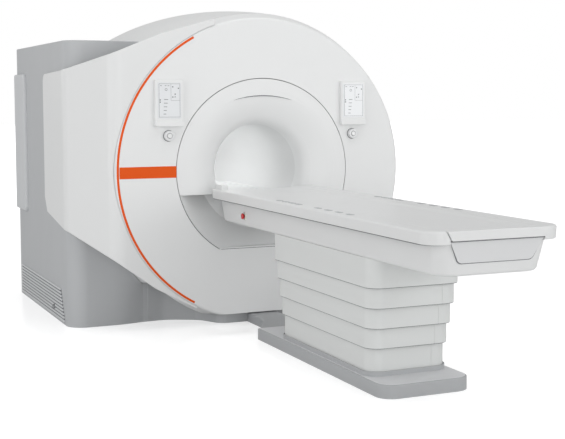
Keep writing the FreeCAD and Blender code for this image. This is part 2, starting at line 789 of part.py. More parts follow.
def cabinet():
    def body(wall, low, high):
        """The cabinet's plan, drawn in by a wall."""
        return prism("plan", [
            ("-cabinet_inner - %s" % wall, "cabinet_rear - %s" % wall),
            ("-cabinet_side + %s" % wall, "cabinet_rear - %s" % wall),
            ("-cabinet_side + %s" % wall, "-cabinet_front + cabinet_corner"),
            ("-cabinet_side + cabinet_corner", "-cabinet_front + %s" % wall,
             "cabinet_corner - %s" % wall, "left"),
            ("-cabinet_bend_x", "-cabinet_front + %s" % wall),
            ("-cabinet_inner - %s" % wall, "-cabinet_inner_y + %s" % wall),
        ], low, high)

    node("side_cabinet", cut(
        body("0", "0", "cabinet_height"),
        body("cabinet_wall", "-1", "cabinet_height - cabinet_wall"),
        envelope("envelope_gap")))

    corner = "side_panel_corner"
    node("side_panel", prism("side", [
        ("cabinet_rear", "side_panel_low"),
        ("cabinet_rear", "side_panel_high"),
        ("side_panel_front + %s" % corner, "side_panel_high"),
        ("side_panel_front", "side_panel_high - %s" % corner, corner, "left"),
        ("side_panel_front", "side_panel_low + %s" % corner),
        ("side_panel_front + %s" % corner, "side_panel_low", corner, "left"),
    ], "-cabinet_side - side_panel_thick", "-cabinet_side"))

    slats = []
    for index in range(int(number("slat_count"))):
        low = "slat_low + slat_pitch * %d" % index
        slats.append(box(
            ("-cabinet_side - slat_thick", "-slat_front", low),
            ("-cabinet_side", "slat_rear", low + " + slat_height")))
    eye = cylinder(
        "lock_radius + lock_clearance",
        "slat_thick + 20", "-cabinet_side - slat_thick - 10", "-lock_y", "lock_z", ALONG_X)
    node("vent_grille", cut(group(*slats), eye))
    bar = cylinder(
        "lock_radius", "lock_height", "-cabinet_side - seat_gap - lock_height", "-lock_y", "lock_z", ALONG_X)
    slot = box(
        ("-cabinet_side - seat_gap - lock_height - 1", "-lock_y - 2", "lock_z - lock_radius"),
        ("-cabinet_side - seat_gap - lock_height + 4", "-lock_y + 2", "lock_z + lock_radius"))
    node("vent_lock", cut(bar, slot))

    inside = "-cabinet_side + cabinet_wall"
    rear_rack = "cabinet_rear - rack_rear_gap"
    front_rack = rear_rack + " - rack_length - rack_gap"
    for label, rear in (("radio_amplifier", rear_rack), ("gradient_amplifier", front_rack)):
        node(label, box((inside, rear + " - rack_length", "0"), ("-rack_inner", rear, "rack_height")))
    node("control_electronics", box(
        (inside, "-cabinet_front + upper_rack_front_gap", "upper_rack_low"),
        ("-upper_rack_inner", "cabinet_rear - upper_rack_rear_gap", "upper_rack_low + upper_rack_height")))

    def skirt(wall, low, high):
        """The plinth's plan, drawn in by a wall."""
        return prism("plan", [
            ("cabinet_inner - %s" % wall, "plinth_rear - %s" % wall),
            ("-cabinet_inner + %s" % wall, "plinth_rear - %s" % wall),
            ("-cabinet_inner + %s" % wall, "-cabinet_inner_y + %s" % wall),
            ("-plinth_middle_x", "-plinth_middle + %s" % wall),
            ("plinth_middle_x", "-plinth_middle + %s" % wall),
            ("cabinet_inner - %s" % wall, "-cabinet_inner_y + %s" % wall),
        ], low, high)

    toe = prism("plan", [
        ("-plinth_middle_x", "-plinth_middle + plinth_wall"),
        ("-plinth_middle_x", "-plinth_middle"),
        ("-toe_flank_x", "-toe_front + toe_flank"),
        ("-toe_half", "-toe_front"),
        ("toe_half", "-toe_front"),
        ("toe_flank_x", "-toe_front + toe_flank"),
        ("plinth_middle_x", "-plinth_middle"),
        ("plinth_middle_x", "-plinth_middle + plinth_wall"),
    ], "0", "toe_height")
    walls = cut(
        skirt("0", "0", "plinth_height"), skirt("plinth_wall", "-1", "plinth_height + 1"),
        bore_bar("vessel_radius + seat_gap", "-1200", "1200"))
    node("plinth", join(walls, toe))

    node("floor_duct", prism("plan", [
        ("-duct_half", "-toe_front"),
        ("-duct_half", "-toe_front - duct_straight"),
        ("-base_half + duct_inset", "-base_rear"),
        ("base_half - duct_inset", "-base_rear"),
        ("duct_half", "-toe_front - duct_straight"),
        ("duct_half", "-toe_front"),
    ], "0", "duct_height"))


# ---- control panels and knobs ----

def controls():
    for side, name in ((-1, "left"), (1, "right")):
        middle = "panel_x * %d" % side
        left = middle + " - panel_width / 2"
        right = middle + " + panel_width / 2"
        face = "-front_face - panel_thick"
        slab = box((left, face, "panel_low"), (right, "-front_face", "panel_low + panel_height"))
        lip = box(
            (left, face + " - panel_lip_thick", "panel_low"), (right, face, "panel_low + panel_lip"))
        node("control_panel_" + name, join(slab, lip))
        node("display_" + name, box(
            (left + " + display_margin", face + " - display_thick", "panel_low + panel_lip + display_margin"),
            (right + " - display_margin", face, "panel_low + panel_height - display_margin")))
        dial = cylinder(
            "knob_radius", "knob_height", middle, "-front_face - seat_gap - knob_height", "knob_z", ALONG_Y)
        eye = cylinder(
            "knob_bore", "knob_height + 10", middle, "-front_face - knob_height - 5", "knob_z", ALONG_Y)
        node("knob_dial_" + name, cut(dial, eye))
        top = "-front_face - seat_gap - knob_height - button_stand"
        cap = cylinder(
            "knob_bore - knob_gap", "knob_height + button_stand - button_travel", middle, top,
            "knob_z", ALONG_Y)
        stem = cylinder(
            "stem_radius", "knob_height + button_stand + stem_reach", middle, top, "knob_z", ALONG_Y)
        node("knob_button_" + name, join(cap, stem))


# ---- bridge that carries the tabletop through the bore ----

def bridge():
    low = "bridge_top - bridge_depth"
    plate = prism("front", [
        ("-bridge_foot_half", low),
        ("bridge_foot_half", low),
        ("bridge_half", "bridge_top"),
        ("-bridge_half", "bridge_top"),
    ], "-bridge_front", "bridge_rear")
    pieces = [plate]
    for side in (-1, 1):
        ends = ["bridge_leg_x * %d" % side, "(bridge_leg_x + bridge_leg_wide) * %d" % side]
        rails = ["rail_x * %d" % side, "(rail_x + rail_width) * %d" % side]
        if side < 0:
            ends.reverse()
            rails.reverse()
        pieces.append(box(
            (ends[0], "-liner_front + 20", "axis_height - bore_radius"), (ends[1], "bridge_rear", low)))
        pieces.append(box(
            (rails[0], "-bridge_front", "bridge_top"),
            (rails[1], "bridge_rear", "tabletop_low - rail_gap")))
    keep = bore_bar("bore_radius - seat_gap", "-bridge_front - 50", "bridge_rear + 50")
    node("bore_bridge", common(join(*pieces), keep))


# ---- patient table ----

def table():
    low, high = "tabletop_low", "tabletop_high"
    inner = "tabletop_high_half - tabletop_edge"
    node("tabletop", prism("front", [
        ("-tabletop_low_half", low),
        ("tabletop_low_half", low),
        ("tabletop_high_half", high),
        (inner, high),
        (inner + " - tabletop_slope", high + " - tabletop_dish"),
        ("-(%s) + tabletop_slope" % inner, high + " - tabletop_dish"),
        ("-(%s)" % inner, high),
        ("-tabletop_high_half", high),
    ], "-table_front", "-table_rear"))

    frame = rounded_plan(
        "table_rim_half", "table_rim_front", "table_rear", "table_rim_corner", "table_rim_low", high)
    square_end = box(
        ("-table_rim_half", "-table_rear - table_rim_corner", "table_rim_low"),
        ("table_rim_half", "-table_rear", high))
    floor = "table_rim_low + table_web"
    channel = prism("front", [
        ("-tabletop_low_half - channel_gap", floor),
        ("tabletop_low_half + channel_gap", floor),
        ("tabletop_high_half + channel_gap", "tabletop_high"),
        ("tabletop_high_half + channel_gap", "tabletop_high + 50"),
        ("-tabletop_high_half - channel_gap", "tabletop_high + 50"),
        ("-tabletop_high_half - channel_gap", "tabletop_high"),
    ], "-table_front - 50", "-table_rear + 50")
    node("table_rim", cut(join(frame, square_end), channel))
    rails = []
    for side in (-1, 1):
        ends = ["rail_x * %d" % side, "(rail_x + rail_width) * %d" % side]
        if side < 0:
            ends.reverse()
        rails.append(box(
            (ends[0], "-table_rim_front + rail_end_gap", floor),
            (ends[1], "-table_rear - 5", "tabletop_low - rail_gap")))
    node("tabletop_rails", group(*rails))

    def hull(wall, top):
        """The housing's tapered form, drawn in by a wall."""
        section = prism("front", [
            ("-housing_low_half + %s" % wall, "housing_low + %s" % wall),
            ("housing_low_half - %s" % wall, "housing_low + %s" % wall),
            ("housing_high_half - %s" % wall, top),
            ("-housing_high_half + %s" % wall, top),
        ], "-table_front", "0")
        profile = prism("side", [
            ("-table_rear - %s" % wall, "housing_low - 10"),
            ("-table_rear - %s" % wall, top + " + 10"),
            ("-housing_front_high + %s" % wall, top + " + 10"),
            ("-housing_front_high + %s" % wall, top),
            ("-housing_front_low + %s" % wall, "housing_low"),
            ("-housing_front_low + %s" % wall, "housing_low - 10"),
        ], "-500", "500")
        return common(section, profile)

    collars = []
    for side, name in ((-1, "left"), (1, "right")):
        start = "-collar_face" if side < 0 else "collar_face - collar_depth"
        spot = ("-estop_y", "estop_z", ALONG_X)
        collars.append(cylinder("collar_radius + seat_gap", "collar_depth + 10", start + " - 5", *spot))
        collar = cut(
            cylinder("collar_radius", "collar_depth", start, *spot),
            cylinder("estop_stem + button_gap", "collar_depth + 10", start + " - 5", *spot))
        node("estop_collar_" + name, collar)
        stand = "collar_face + button_gap + estop_travel"
        if side < 0:
            head_start = "-(%s) - estop_head" % stand
            stem_start = "-(%s)" % stand
        else:
            head_start = stand
            stem_start = stand + " - collar_depth"
        head = cylinder("estop_radius", "estop_head", head_start, *spot)
        stem = cylinder("estop_stem", "collar_depth", stem_start, *spot)
        node("estop_button_" + name, join(head, stem))
    node("table_housing", cut(
        hull("0", "table_rim_low"), hull("housing_wall", "table_rim_low + 5"), *collars))

    rake = "(housing_front_high - housing_front_low) / (table_rim_low - housing_low)"
    panel_low_y = "housing_front_low + (end_panel_low - housing_low) * %s" % rake
    panel = prism("side", [
        ("-housing_front_high", "table_rim_low"),
        ("-(%s)" % panel_low_y, "end_panel_low"),
        ("-(%s) - end_panel_thick" % panel_low_y, "end_panel_low"),
        ("-housing_front_high - end_panel_thick", "table_rim_low"),
    ], "-500", "500")
    shape = prism("front", [
        ("-end_panel_low_half", "end_panel_low"),
        ("end_panel_low_half", "end_panel_low"),
        ("end_panel_high_half", "table_rim_low"),
        ("-end_panel_high_half", "table_rim_low"),
    ], "-table_front", "0")
    node("end_panel", common(panel, shape))

    bed = "housing_low + housing_wall"
    node("tabletop_drive", box(
        ("-drive_width / 2", "-drive_y - drive_length", bed),
        ("drive_width / 2", "-drive_y", bed + " + drive_height")))


# ---- lifting pedestal ----

def pedestal():
    node("base_plate", join(
        rounded_plan("base_half", "base_front", "base_rear", "base_corner", "0", "base_height"),
        box(("-base_half", "-base_rear - base_corner", "0"), ("base_half", "-base_rear", "base_height"))))

    def shell_form(index, grow, low, high):
        """The plan of a shell, counted from the fixed one outwards, grown by a margin."""
        return rounded_plan(
            "shell_half + shell_side_step * %d + (%s)" % (index, grow),
            "shell_front + shell_front_step * %d + (%s)" % (index, grow),
            "shell_rear - shell_rear_step * %d - (%s)" % (index, grow),
            "(shell_corner + (%s))" % grow, low, high)

    foot = "base_height + trim_height"
    node("base_trim", cut(
        shell_form(0, "trim_width", "base_height", foot),
        shell_form(0, "seat_gap", "base_height - 1", foot + " + 1")))
    node("pedestal_shell_5", cut(
        shell_form(0, "0", "base_height", "shell_lowest + shell_pitch + shell_overlap"),
        shell_form(0, "-shell_wall", "base_height - 1", "shell_lowest + shell_pitch * 2")))
    for index in (1, 2, 3, 4):
        low = "shell_lowest + shell_pitch * %d" % index
        high = low + " + shell_pitch + shell_overlap" if index < 4 else "housing_low"
        node("pedestal_shell_%d" % (5 - index), cut(
            shell_form(index, "0", low, high),
            shell_form(index, "-shell_wall", low + " + shell_lip", high + " + 1"),
            shell_form(index - 1, "shell_slide", low + " - 1", low + " + shell_lip + 1")))

    stages = (
        ("lift_tubes_outer", 0, "base_height"),
        ("lift_tubes_middle", 1, "base_height + lift_travel / 2 + tube_rest_gap"),
        ("lift_tubes_inner", 2, "housing_low - lift_tube_height"),
    )
    for label, index, low in stages:
        radius = "lift_tube_radius - (lift_tube_wall + lift_tube_slide) * %d" % index
        tubes = []
        for spot in ("lift_tube_rear", "lift_tube_front"):
            tubes.append(cut(
                cylinder(radius, "lift_tube_height", "0", "-" + spot, low),
                cylinder(
                    radius + " - lift_tube_wall", "lift_tube_height + 2", "0", "-" + spot, low + " - 1")))
        node(label, group(*tubes))
    node("lift_motor", cylinder(
        "lift_motor_radius", "lift_motor_height", "0", "-lift_motor_y", "base_height"))


magnet()
covers()
wing()
cabinet()
controls()
bridge()
table()
pedestal()
doc.recompute()

for obj in doc.Objects:
    faults = [state for state in obj.State if state in ("Invalid", "Error")]
    if faults:
        raise RuntimeError("%s (%s) is %s" % (obj.Label, obj.Name, faults))
for obj in NODES:
    if obj.Shape.isNull() or not obj.Shape.Solids or not obj.Shape.isValid():
        raise RuntimeError(obj.Label + " has no valid solid")

os.makedirs("parts", exist_ok=True)
for obj in NODES:
    obj.Shape.exportStep(os.path.join("parts", obj.Label + ".step"))
print(len(NODES), "nodes written")
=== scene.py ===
"""Magnetic resonance scanner: covers, patient table and studio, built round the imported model."""

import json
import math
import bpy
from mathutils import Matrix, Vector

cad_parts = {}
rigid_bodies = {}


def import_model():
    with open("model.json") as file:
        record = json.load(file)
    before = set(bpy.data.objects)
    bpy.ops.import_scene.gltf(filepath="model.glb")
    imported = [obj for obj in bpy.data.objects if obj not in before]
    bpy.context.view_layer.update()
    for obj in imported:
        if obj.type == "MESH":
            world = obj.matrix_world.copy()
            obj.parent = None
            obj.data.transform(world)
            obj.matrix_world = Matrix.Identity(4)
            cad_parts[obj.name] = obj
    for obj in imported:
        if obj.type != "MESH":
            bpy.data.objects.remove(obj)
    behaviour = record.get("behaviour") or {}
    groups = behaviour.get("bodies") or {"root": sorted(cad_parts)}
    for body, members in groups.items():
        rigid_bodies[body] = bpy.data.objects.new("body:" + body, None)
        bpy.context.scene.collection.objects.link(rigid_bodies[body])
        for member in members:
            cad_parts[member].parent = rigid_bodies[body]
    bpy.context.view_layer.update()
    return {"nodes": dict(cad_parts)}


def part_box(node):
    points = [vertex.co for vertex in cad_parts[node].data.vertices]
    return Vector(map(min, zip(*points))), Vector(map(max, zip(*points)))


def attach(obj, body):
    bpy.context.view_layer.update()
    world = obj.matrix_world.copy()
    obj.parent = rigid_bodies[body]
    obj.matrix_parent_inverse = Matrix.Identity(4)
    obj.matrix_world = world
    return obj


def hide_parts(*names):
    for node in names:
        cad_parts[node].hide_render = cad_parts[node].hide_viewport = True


bl_info = {
    "name": "Magnetic Resonance Scanner",
    "version": (1, 0, 0),
    "blender": (4, 5, 0),
    "location": "View3D > Sidebar > Scanner",
    "description": "Builds the scanner's covers, patient table, finishes and studio in metres",
    "category": "Object",
}

import bmesh
import bpy
from mathutils import Matrix, Vector

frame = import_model()


# ---- sizes read from the frame ----

def low(node):
    return Vector(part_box(node)[0])


def high(node):
    return Vector(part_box(node)[1])


def middle(node):
    return (low(node) + high(node)) / 2


AXIS = middle("bore_liner").z
FRONT = low("front_cover").y
REAR = high("rear_cover").y
FUNNEL = high("funnel_upper").x
RIM = high("front_cover").x
CENTRE = (0, 0, AXIS)

# Steps in a full turn: large covers, buttons and dials, and the eye round the louvre lock.
COVER_STEPS = 192
BUTTON_STEPS = 72
EYE_STEPS = 48

# The table's foot end leans in by this much from its top to its foot.
FOOT_LEAN = 0.030


def linear(red, green, blue):
    """A display colour, 0 to 255, as the linear colour a shader takes."""
    def channel(value):
        value /= 255
        return value / 12.92 if value <= 0.04045 else ((value + 0.055) / 1.055) ** 2.4
    return tuple(channel(value) for value in (red, green, blue))


# ---- settings that a user would change ----

class ScannerFinishes(bpy.types.PropertyGroup):
    """Colours of the painted and moulded parts."""

    cover: bpy.props.FloatVectorProperty(
        name="Covers", description="Lacquered gantry covers", subtype="COLOR",
        default=linear(232, 233, 233))
    surround: bpy.props.FloatVectorProperty(
        name="Surround", description="Flared front surround", subtype="COLOR",
        default=linear(228, 229, 229))
    bore: bpy.props.FloatVectorProperty(
        name="Bore", description="Moulded bore liner", subtype="COLOR", default=linear(225, 226, 226))
    cabinet: bpy.props.FloatVectorProperty(
        name="Cabinet", description="Painted side cabinet and plinth", subtype="COLOR",
        default=linear(186, 188, 190))
    table: bpy.props.FloatVectorProperty(
        name="Table", description="Moulded table body and rim", subtype="COLOR",
        default=linear(226, 227, 227))
    pedestal: bpy.props.FloatVectorProperty(
        name="Pedestal", description="Telescopic pedestal shells", subtype="COLOR",
        default=linear(222, 224, 223))
    base: bpy.props.FloatVectorProperty(
        name="Base", description="Floor base and duct", subtype="COLOR", default=linear(178, 180, 182))
    side_panel: bpy.props.FloatVectorProperty(
        name="Side panel", description="Raised panel on the cabinet", subtype="COLOR",
        default=linear(206, 208, 210))
    screen: bpy.props.FloatVectorProperty(
        name="Screens", description="Glass of the control screens", subtype="COLOR",
        default=linear(232, 234, 236))
    label: bpy.props.FloatVectorProperty(
        name="Stop label", description="Ring round each stop button", subtype="COLOR",
        default=linear(236, 236, 226))
    accent: bpy.props.FloatVectorProperty(
        name="Accent", description="Orange arc and band", subtype="COLOR", default=linear(228, 88, 22))
    stop: bpy.props.FloatVectorProperty(
        name="Stop button", description="Emergency stop buttons", subtype="COLOR",
        default=linear(206, 18, 30))


class ScannerForm(bpy.types.PropertyGroup):
    """Roundings that set how soft the mouldings look."""

    shoulder: bpy.props.FloatProperty(
        name="Shoulder", description="Rounding of the front cover's shoulder", default=0.014, unit="LENGTH")
    surround_edge: bpy.props.FloatProperty(
        name="Surround edge", description="Rounding of the surround's edges", default=0.005, unit="LENGTH")
    housing_corner: bpy.props.FloatProperty(
        name="Table body corner", description="Rounding of the table body's foot corners", default=0.095,
        unit="LENGTH")
    rim_edge: bpy.props.FloatProperty(
        name="Rim edge", description="Rounding of the table rim's top edge", default=0.012, unit="LENGTH")


class ScannerStage(bpy.types.PropertyGroup):
    """Camera and light."""

    lens: bpy.props.FloatProperty(name="Lens", description="Focal length", default=75.95, unit="CAMERA")
    shift: bpy.props.FloatVectorProperty(
        name="Shift", description="Camera shift across and up", size=2, default=(-0.1117, -0.0489))
    place: bpy.props.FloatVectorProperty(
        name="Camera place", description="Where the camera stands", subtype="TRANSLATION", unit="LENGTH",
        default=(-2.9431, -8.2997, 1.4844))
    turn: bpy.props.FloatProperty(
        name="Turn", description="Camera turn about the vertical", unit="ROTATION",
        default=math.radians(-25.801))
    tilt: bpy.props.FloatProperty(
        name="Tilt", description="Camera tilt up from straight down", unit="ROTATION",
        default=math.radians(85.545))
    sky: bpy.props.FloatProperty(name="Sky", description="Strength of the white surroundings", default=0.5)


# ---- finishes ----

def shader_nodes(name):
    """A new material, its node tree and its shader."""
    material = bpy.data.materials.new(name)
    material.use_nodes = True
    tree = material.node_tree
    shader = tree.nodes["Principled BSDF"]
    return material, tree, shader


def add(tree, kind, **values):
    """A node with its inputs set, and joined where the value is a socket."""
    node = tree.nodes.new(kind)
    for key, value in values.items():
        socket = node.inputs[key.replace("_", " ")]
        if isinstance(value, bpy.types.NodeSocket):
            tree.links.new(value, socket)
        else:
            socket.default_value = value
    return node


def object_place(tree):
    return tree.nodes.new("ShaderNodeTexCoord").outputs["Object"]


def mottled(tree, shader, pattern, colour, darkest):
    """Vary the base colour between a darker tone and the full one."""
    shade = tree.nodes.new("ShaderNodeMix")
    shade.data_type = "RGBA"
    shade.inputs["A"].default_value = (*[c * darkest for c in colour], 1)
    shade.inputs["B"].default_value = (*colour, 1)
    tree.links.new(pattern, shade.inputs["Factor"])
    tree.links.new(shade.outputs["Result"], shader.inputs["Base Color"])


def uneven_gloss(tree, shader, pattern, least, most):
    """Vary the roughness between two values."""
    gloss = tree.nodes.new("ShaderNodeMapRange")
    gloss.inputs["To Min"].default_value = least
    gloss.inputs["To Max"].default_value = most
    tree.links.new(pattern, gloss.inputs["Value"])
    tree.links.new(gloss.outputs["Result"], shader.inputs["Roughness"])


def embossed(tree, shader, pattern, strength, distance):
    """Raise the surface by a pattern."""
    bump = add(tree, "ShaderNodeBump", Strength=strength, Distance=distance, Height=pattern)
    tree.links.new(bump.outputs["Normal"], shader.inputs["Normal"])


def paint(name, colour, roughness, grain=420.0, relief=0.00006, tone=0.04, coat=0.0, specular=0.5):
    """Paint or moulded plastic: a cloudy tone, uneven gloss and a fine orange-peel relief."""
    material, tree, shader = shader_nodes(name)
    place = object_place(tree)
    cloud = add(tree, "ShaderNodeTexNoise", Vector=place, Scale=1.3, Detail=4.0)
    mottled(tree, shader, cloud.outputs["Fac"], colour, 1 - tone)
    wipe = add(tree, "ShaderNodeTexNoise", Vector=place, Scale=7.0, Detail=6.0)
    uneven_gloss(tree, shader, wipe.outputs["Fac"], roughness - 0.05, roughness + 0.05)
    peel = add(tree, "ShaderNodeTexNoise", Vector=place, Scale=grain, Detail=2.0)
    embossed(tree, shader, peel.outputs["Fac"], 0.25, relief)
    shader.inputs["Coat Weight"].default_value = coat
    shader.inputs["Coat Roughness"].default_value = 0.2
    shader.inputs["Specular IOR Level"].default_value = specular
    return material


FINISH = {}


def metal(name, colour, roughness, brushed=(3.0, 3.0, 240.0)):
    """Bare metal with a drawn grain, cloudy gloss and faint stains."""
    material, tree, shader = shader_nodes(name)
    mapping = add(tree, "ShaderNodeMapping", Vector=object_place(tree), Scale=brushed)
    grain = add(tree, "ShaderNodeTexNoise", Vector=mapping.outputs["Vector"], Scale=4.0, Detail=5.0)
    stain = add(tree, "ShaderNodeTexNoise", Vector=object_place(tree), Scale=2.6, Detail=4.0)
    mottled(tree, shader, stain.outputs["Fac"], colour, 0.82)
    uneven_gloss(tree, shader, grain.outputs["Fac"], roughness - 0.1, roughness + 0.12)
    embossed(tree, shader, grain.outputs["Fac"], 0.2, 0.00008)
    shader.inputs["Metallic"].default_value = 1.0
    return material


def windings(name, colour):
    """Fine wound turns, seen as close rings round the coil."""
    material, tree, shader = shader_nodes(name)
    turns = tree.nodes.new("ShaderNodeTexWave")
    turns.bands_direction = "Y"
    turns.inputs["Scale"].default_value = 60.0
    turns.inputs["Distortion"].default_value = 0.4
    tree.links.new(object_place(tree), turns.inputs["Vector"])
    mottled(tree, shader, turns.outputs["Fac"], colour, 0.45)
    embossed(tree, shader, turns.outputs["Fac"], 0.4, 0.0008)
    shader.inputs["Roughness"].default_value = 0.4
    shader.inputs["Metallic"].default_value = 0.8
    return material


def make_finishes(colours):
    """Every finish on the scanner, by the name the pieces use."""
    FINISH.update({
        "cover": paint("cover_lacquer", colours.cover, 0.42, coat=0.05),
        "surround": paint("surround_lacquer", colours.surround, 0.42, coat=0.05),
        "bore": paint("bore_moulding", colours.bore, 0.42, coat=0.1),
        "cabinet": paint("cabinet_paint", colours.cabinet, 0.5, grain=600.0, relief=0.0001),
        "cabinet_light": paint("side_panel_paint", colours.side_panel, 0.45, grain=600.0, relief=0.0001),
        "table": paint("table_moulding", colours.table, 0.42, coat=0.1),
        "pedestal": paint("pedestal_moulding", colours.pedestal, 0.5),
        "base": paint("base_paint", colours.base, 0.42, grain=700.0, relief=0.0001),
        "accent": paint("accent_lacquer", colours.accent, 0.5, specular=0.15),
        "stop": paint("stop_button_plastic", colours.stop, 0.25, grain=900.0, coat=0.4),
        "label": paint("stop_label_film", colours.label, 0.35, grain=900.0),
        # Also gives the lighter, glossier painted highlight line across the tabletop.
        "button": paint("button_plastic_and_step_highlight", colours.cover, 0.3, grain=900.0, coat=0.3),
        "screen": paint(
            "screen_glass", colours.screen, 0.12, grain=30.0, relief=0.00001, tone=0.02, coat=0.25),
        "mark": paint("screen_print", linear(92, 96, 100), 0.4, tone=0.2),
        "panel": paint("end_panel_moulding", linear(219, 220, 221), 0.4, coat=0.1),
        # Mid grey painted shade: stands for the dark inside of the accessory slots on the rim.
        "socket": paint("slot_painted_shade", linear(178, 180, 182), 0.45),
        # Dark grey painted shadow: bands for the shade under the rim, under each shell's edge and round the
        # end panel.
        "painted_shadow": paint("painted_shadow_grey", linear(118, 120, 123), 0.6, grain=900.0, specular=0.3),
        # Dark grey, mostly painted shade: for the visor's step, the tub's seam, the gap round each knob, the
        # end panel's foot and behind the louvres; also the dark ring on each stop label.
        "painted_shade_and_ring": paint("painted_shade_and_ring_grey", linear(112, 114, 117), 0.6, grain=600.0, relief=0.0001),
        # Light grey painted light: the base's top made lighter than its sides, as if lit more.
        "deck": paint("base_top_painted_light", linear(230, 231, 233), 0.4, grain=700.0, relief=0.0001),
        "knob": paint("knob_plastic", linear(224, 225, 226), 0.3, grain=900.0, coat=0.3),
        "metal": metal("satin_metal", linear(186, 187, 189), 0.32, brushed=(60.0, 2.0, 60.0)),
        "steel": metal("vessel_steel", linear(172, 174, 176), 0.38),
        "aluminium": metal("drawn_aluminium", linear(200, 202, 205), 0.34, brushed=(120.0, 2.0, 120.0)),
        "windings": windings("wound_conductor", linear(176, 104, 62)),
        "resin": paint(
            "cast_resin", linear(196, 182, 138), 0.35, grain=90.0, relief=0.0004, tone=0.25, coat=0.3),
        "electronics": paint("rack_enamel", linear(78, 82, 88), 0.5, grain=500.0, relief=0.0002, tone=0.15),
    })


# ---- shaping ----

def block(corner, opposite):
    """A mesh block between two corners."""
    corner, opposite = Vector(corner), Vector(opposite)
    bm = bmesh.new()
    size = Matrix.Diagonal((*(opposite - corner), 1))
    bmesh.ops.create_cube(bm, size=1.0, matrix=Matrix.Translation((corner + opposite) / 2) @ size)
    return bm


def slab(corners, thrust):
    """A flat outline of a few corners, pushed out into a solid."""
    bm = bmesh.new()
    face = bm.faces.new([bm.verts.new(corner) for corner in corners])
    pushed = bmesh.ops.extrude_face_region(bm, geom=[face])["geom"]
    bmesh.ops.translate(bm, verts=[v for v in pushed if isinstance(v, bmesh.types.BMVert)], vec=thrust)
    bmesh.ops.recalc_face_normals(bm, faces=bm.faces[:])
    return bm


def runs(axis):
    """A test for edges that run along an axis."""
    return lambda edge: abs((edge.verts[1].co - edge.verts[0].co).normalized()[axis]) > 0.999


def at(axis, value, near=1e-4):
    """A test for edges that lie at a coordinate."""
    return lambda edge: all(abs(v.co[axis] - value) < near for v in edge.verts)


def off(axis, value):
    """A test for edges that don't lie at a coordinate."""
    return lambda edge: not at(axis, value)(edge)


def bends(degrees):
    """A test for edges whose two faces meet at an angle."""
    return lambda edge: len(edge.link_faces) == 2 and edge.calc_face_angle() > math.radians(degrees)


def soften(bm, width, segments, *tests):
    """Round the edges that pass every test."""
    chosen = [edge for edge in bm.edges if all(test(edge) for test in tests)]
    bmesh.ops.bevel(
        bm, geom=chosen, offset=width, offset_type="OFFSET", segments=segments, profile=0.5,
        affect="EDGES", material=-1, clamp_overlap=False, loop_slide=True)
    return bm


def lathe(corners, centre, axis, steps=COVER_STEPS):
    """A closed profile of (radius, distance along, rounding) corners, spun about an axis."""
    along = Vector([float(axis == k) for k in range(3)])
    out = Vector((0, 0, 1)) if axis != 2 else Vector((1, 0, 0))
    centre = Vector(centre)
    centre[axis] = 0.0
    bm = bmesh.new()
    dots = [bm.verts.new(centre + out * corner[0] + along * corner[1]) for corner in corners]
    for pair in zip(dots, dots[1:] + dots[:1]):
        bm.edges.new(pair)
    bmesh.ops.spin(
        bm, geom=bm.verts[:] + bm.edges[:], cent=centre, axis=along, angle=math.tau, steps=steps,
        use_merge=True)
    bmesh.ops.remove_doubles(bm, verts=bm.verts[:], dist=1e-6)
    bmesh.ops.recalc_face_normals(bm, faces=bm.faces[:])
    for radius, distance, *rounding in corners:
        if rounding:
            def here(edge):
                return at(axis, distance, 1e-5)(edge) and all(
                    abs((v.co - centre - along * v.co[axis]).length - radius) < 1e-5 for v in edge.verts)
            soften(bm, rounding[0], rounding[1] if len(rounding) > 1 else 4, here)
    return bm


def button(radius, start, end, centre, axis, rounding, bore=0.0):
    """A round bar or ring along an axis, with its edges rounded."""
    corners = [(radius, start, rounding), (radius, end, rounding)]
    corners += [(bore, end, rounding), (bore, start, rounding)] if bore else [(0.0, end), (0.0, start)]
    return lathe(corners, centre, axis, BUTTON_STEPS)


def drum(radius, start, end, centre, axis, steps=COVER_STEPS):
    """A round bar along an axis, with sharp edges."""
    return lathe([(0.0, start), (radius, start), (radius, end), (0.0, end)], centre, axis, steps)


def carve(bm, *cutters):
    """The mesh with each cutter's space taken out of it."""
    scene = bpy.context.scene.collection.objects
    helpers = []
    for shape in (bm, *cutters):
        mesh = bpy.data.meshes.new("helper")
        shape.to_mesh(mesh)
        shape.free()
        helper = bpy.data.objects.new("helper", mesh)
        scene.link(helper)
        helpers.append(helper)
    for cutter in helpers[1:]:
        taken = helpers[0].modifiers.new("Taken", "BOOLEAN")
        taken.operation = "DIFFERENCE"
        taken.solver = "EXACT"
        taken.object = cutter
    shown = helpers[0].evaluated_get(bpy.context.evaluated_depsgraph_get())
    result = bmesh.new()
    result.from_mesh(shown.to_mesh())
    shown.to_mesh_clear()
    for helper in helpers:
        mesh = helper.data
        bpy.data.objects.remove(helper)
        bpy.data.meshes.remove(mesh)
    bmesh.ops.remove_doubles(result, verts=result.verts[:], dist=1e-6)
    return result


def merged(bm, *others):
    """Several meshes gathered in the first."""
    for other in others:
        mesh = bpy.data.meshes.new("helper")
        other.to_mesh(mesh)
        other.free()
        bm.from_mesh(mesh)
        bpy.data.meshes.remove(mesh)
    return bm


def copied(node):
    """A CAD node's mesh, merged and with its flat faces made whole."""
    bm = bmesh.new()
    bm.from_mesh(frame["nodes"][node].data)
    bmesh.ops.remove_doubles(bm, verts=bm.verts[:], dist=1e-5)
    bmesh.ops.dissolve_limit(bm, angle_limit=math.radians(0.5), verts=bm.verts[:], edges=bm.edges[:])
    return bm


def hollow(bm, wall, lip=0.0):
    """Open a block's top and bottom, leave an inward lip below, and give it a wall."""
    bmesh.ops.recalc_face_normals(bm, faces=bm.faces[:])
    ends = [face for face in bm.faces if abs(face.normal.z) > 0.999]
    if lip:
        floor = min(ends, key=lambda face: face.calc_center_median().z)
        bmesh.ops.inset_region(bm, faces=[floor], thickness=lip, use_even_offset=True)
    bmesh.ops.delete(bm, geom=ends, context="FACES")
    bmesh.ops.solidify(bm, geom=bm.faces[:], thickness=wall)
    return bm


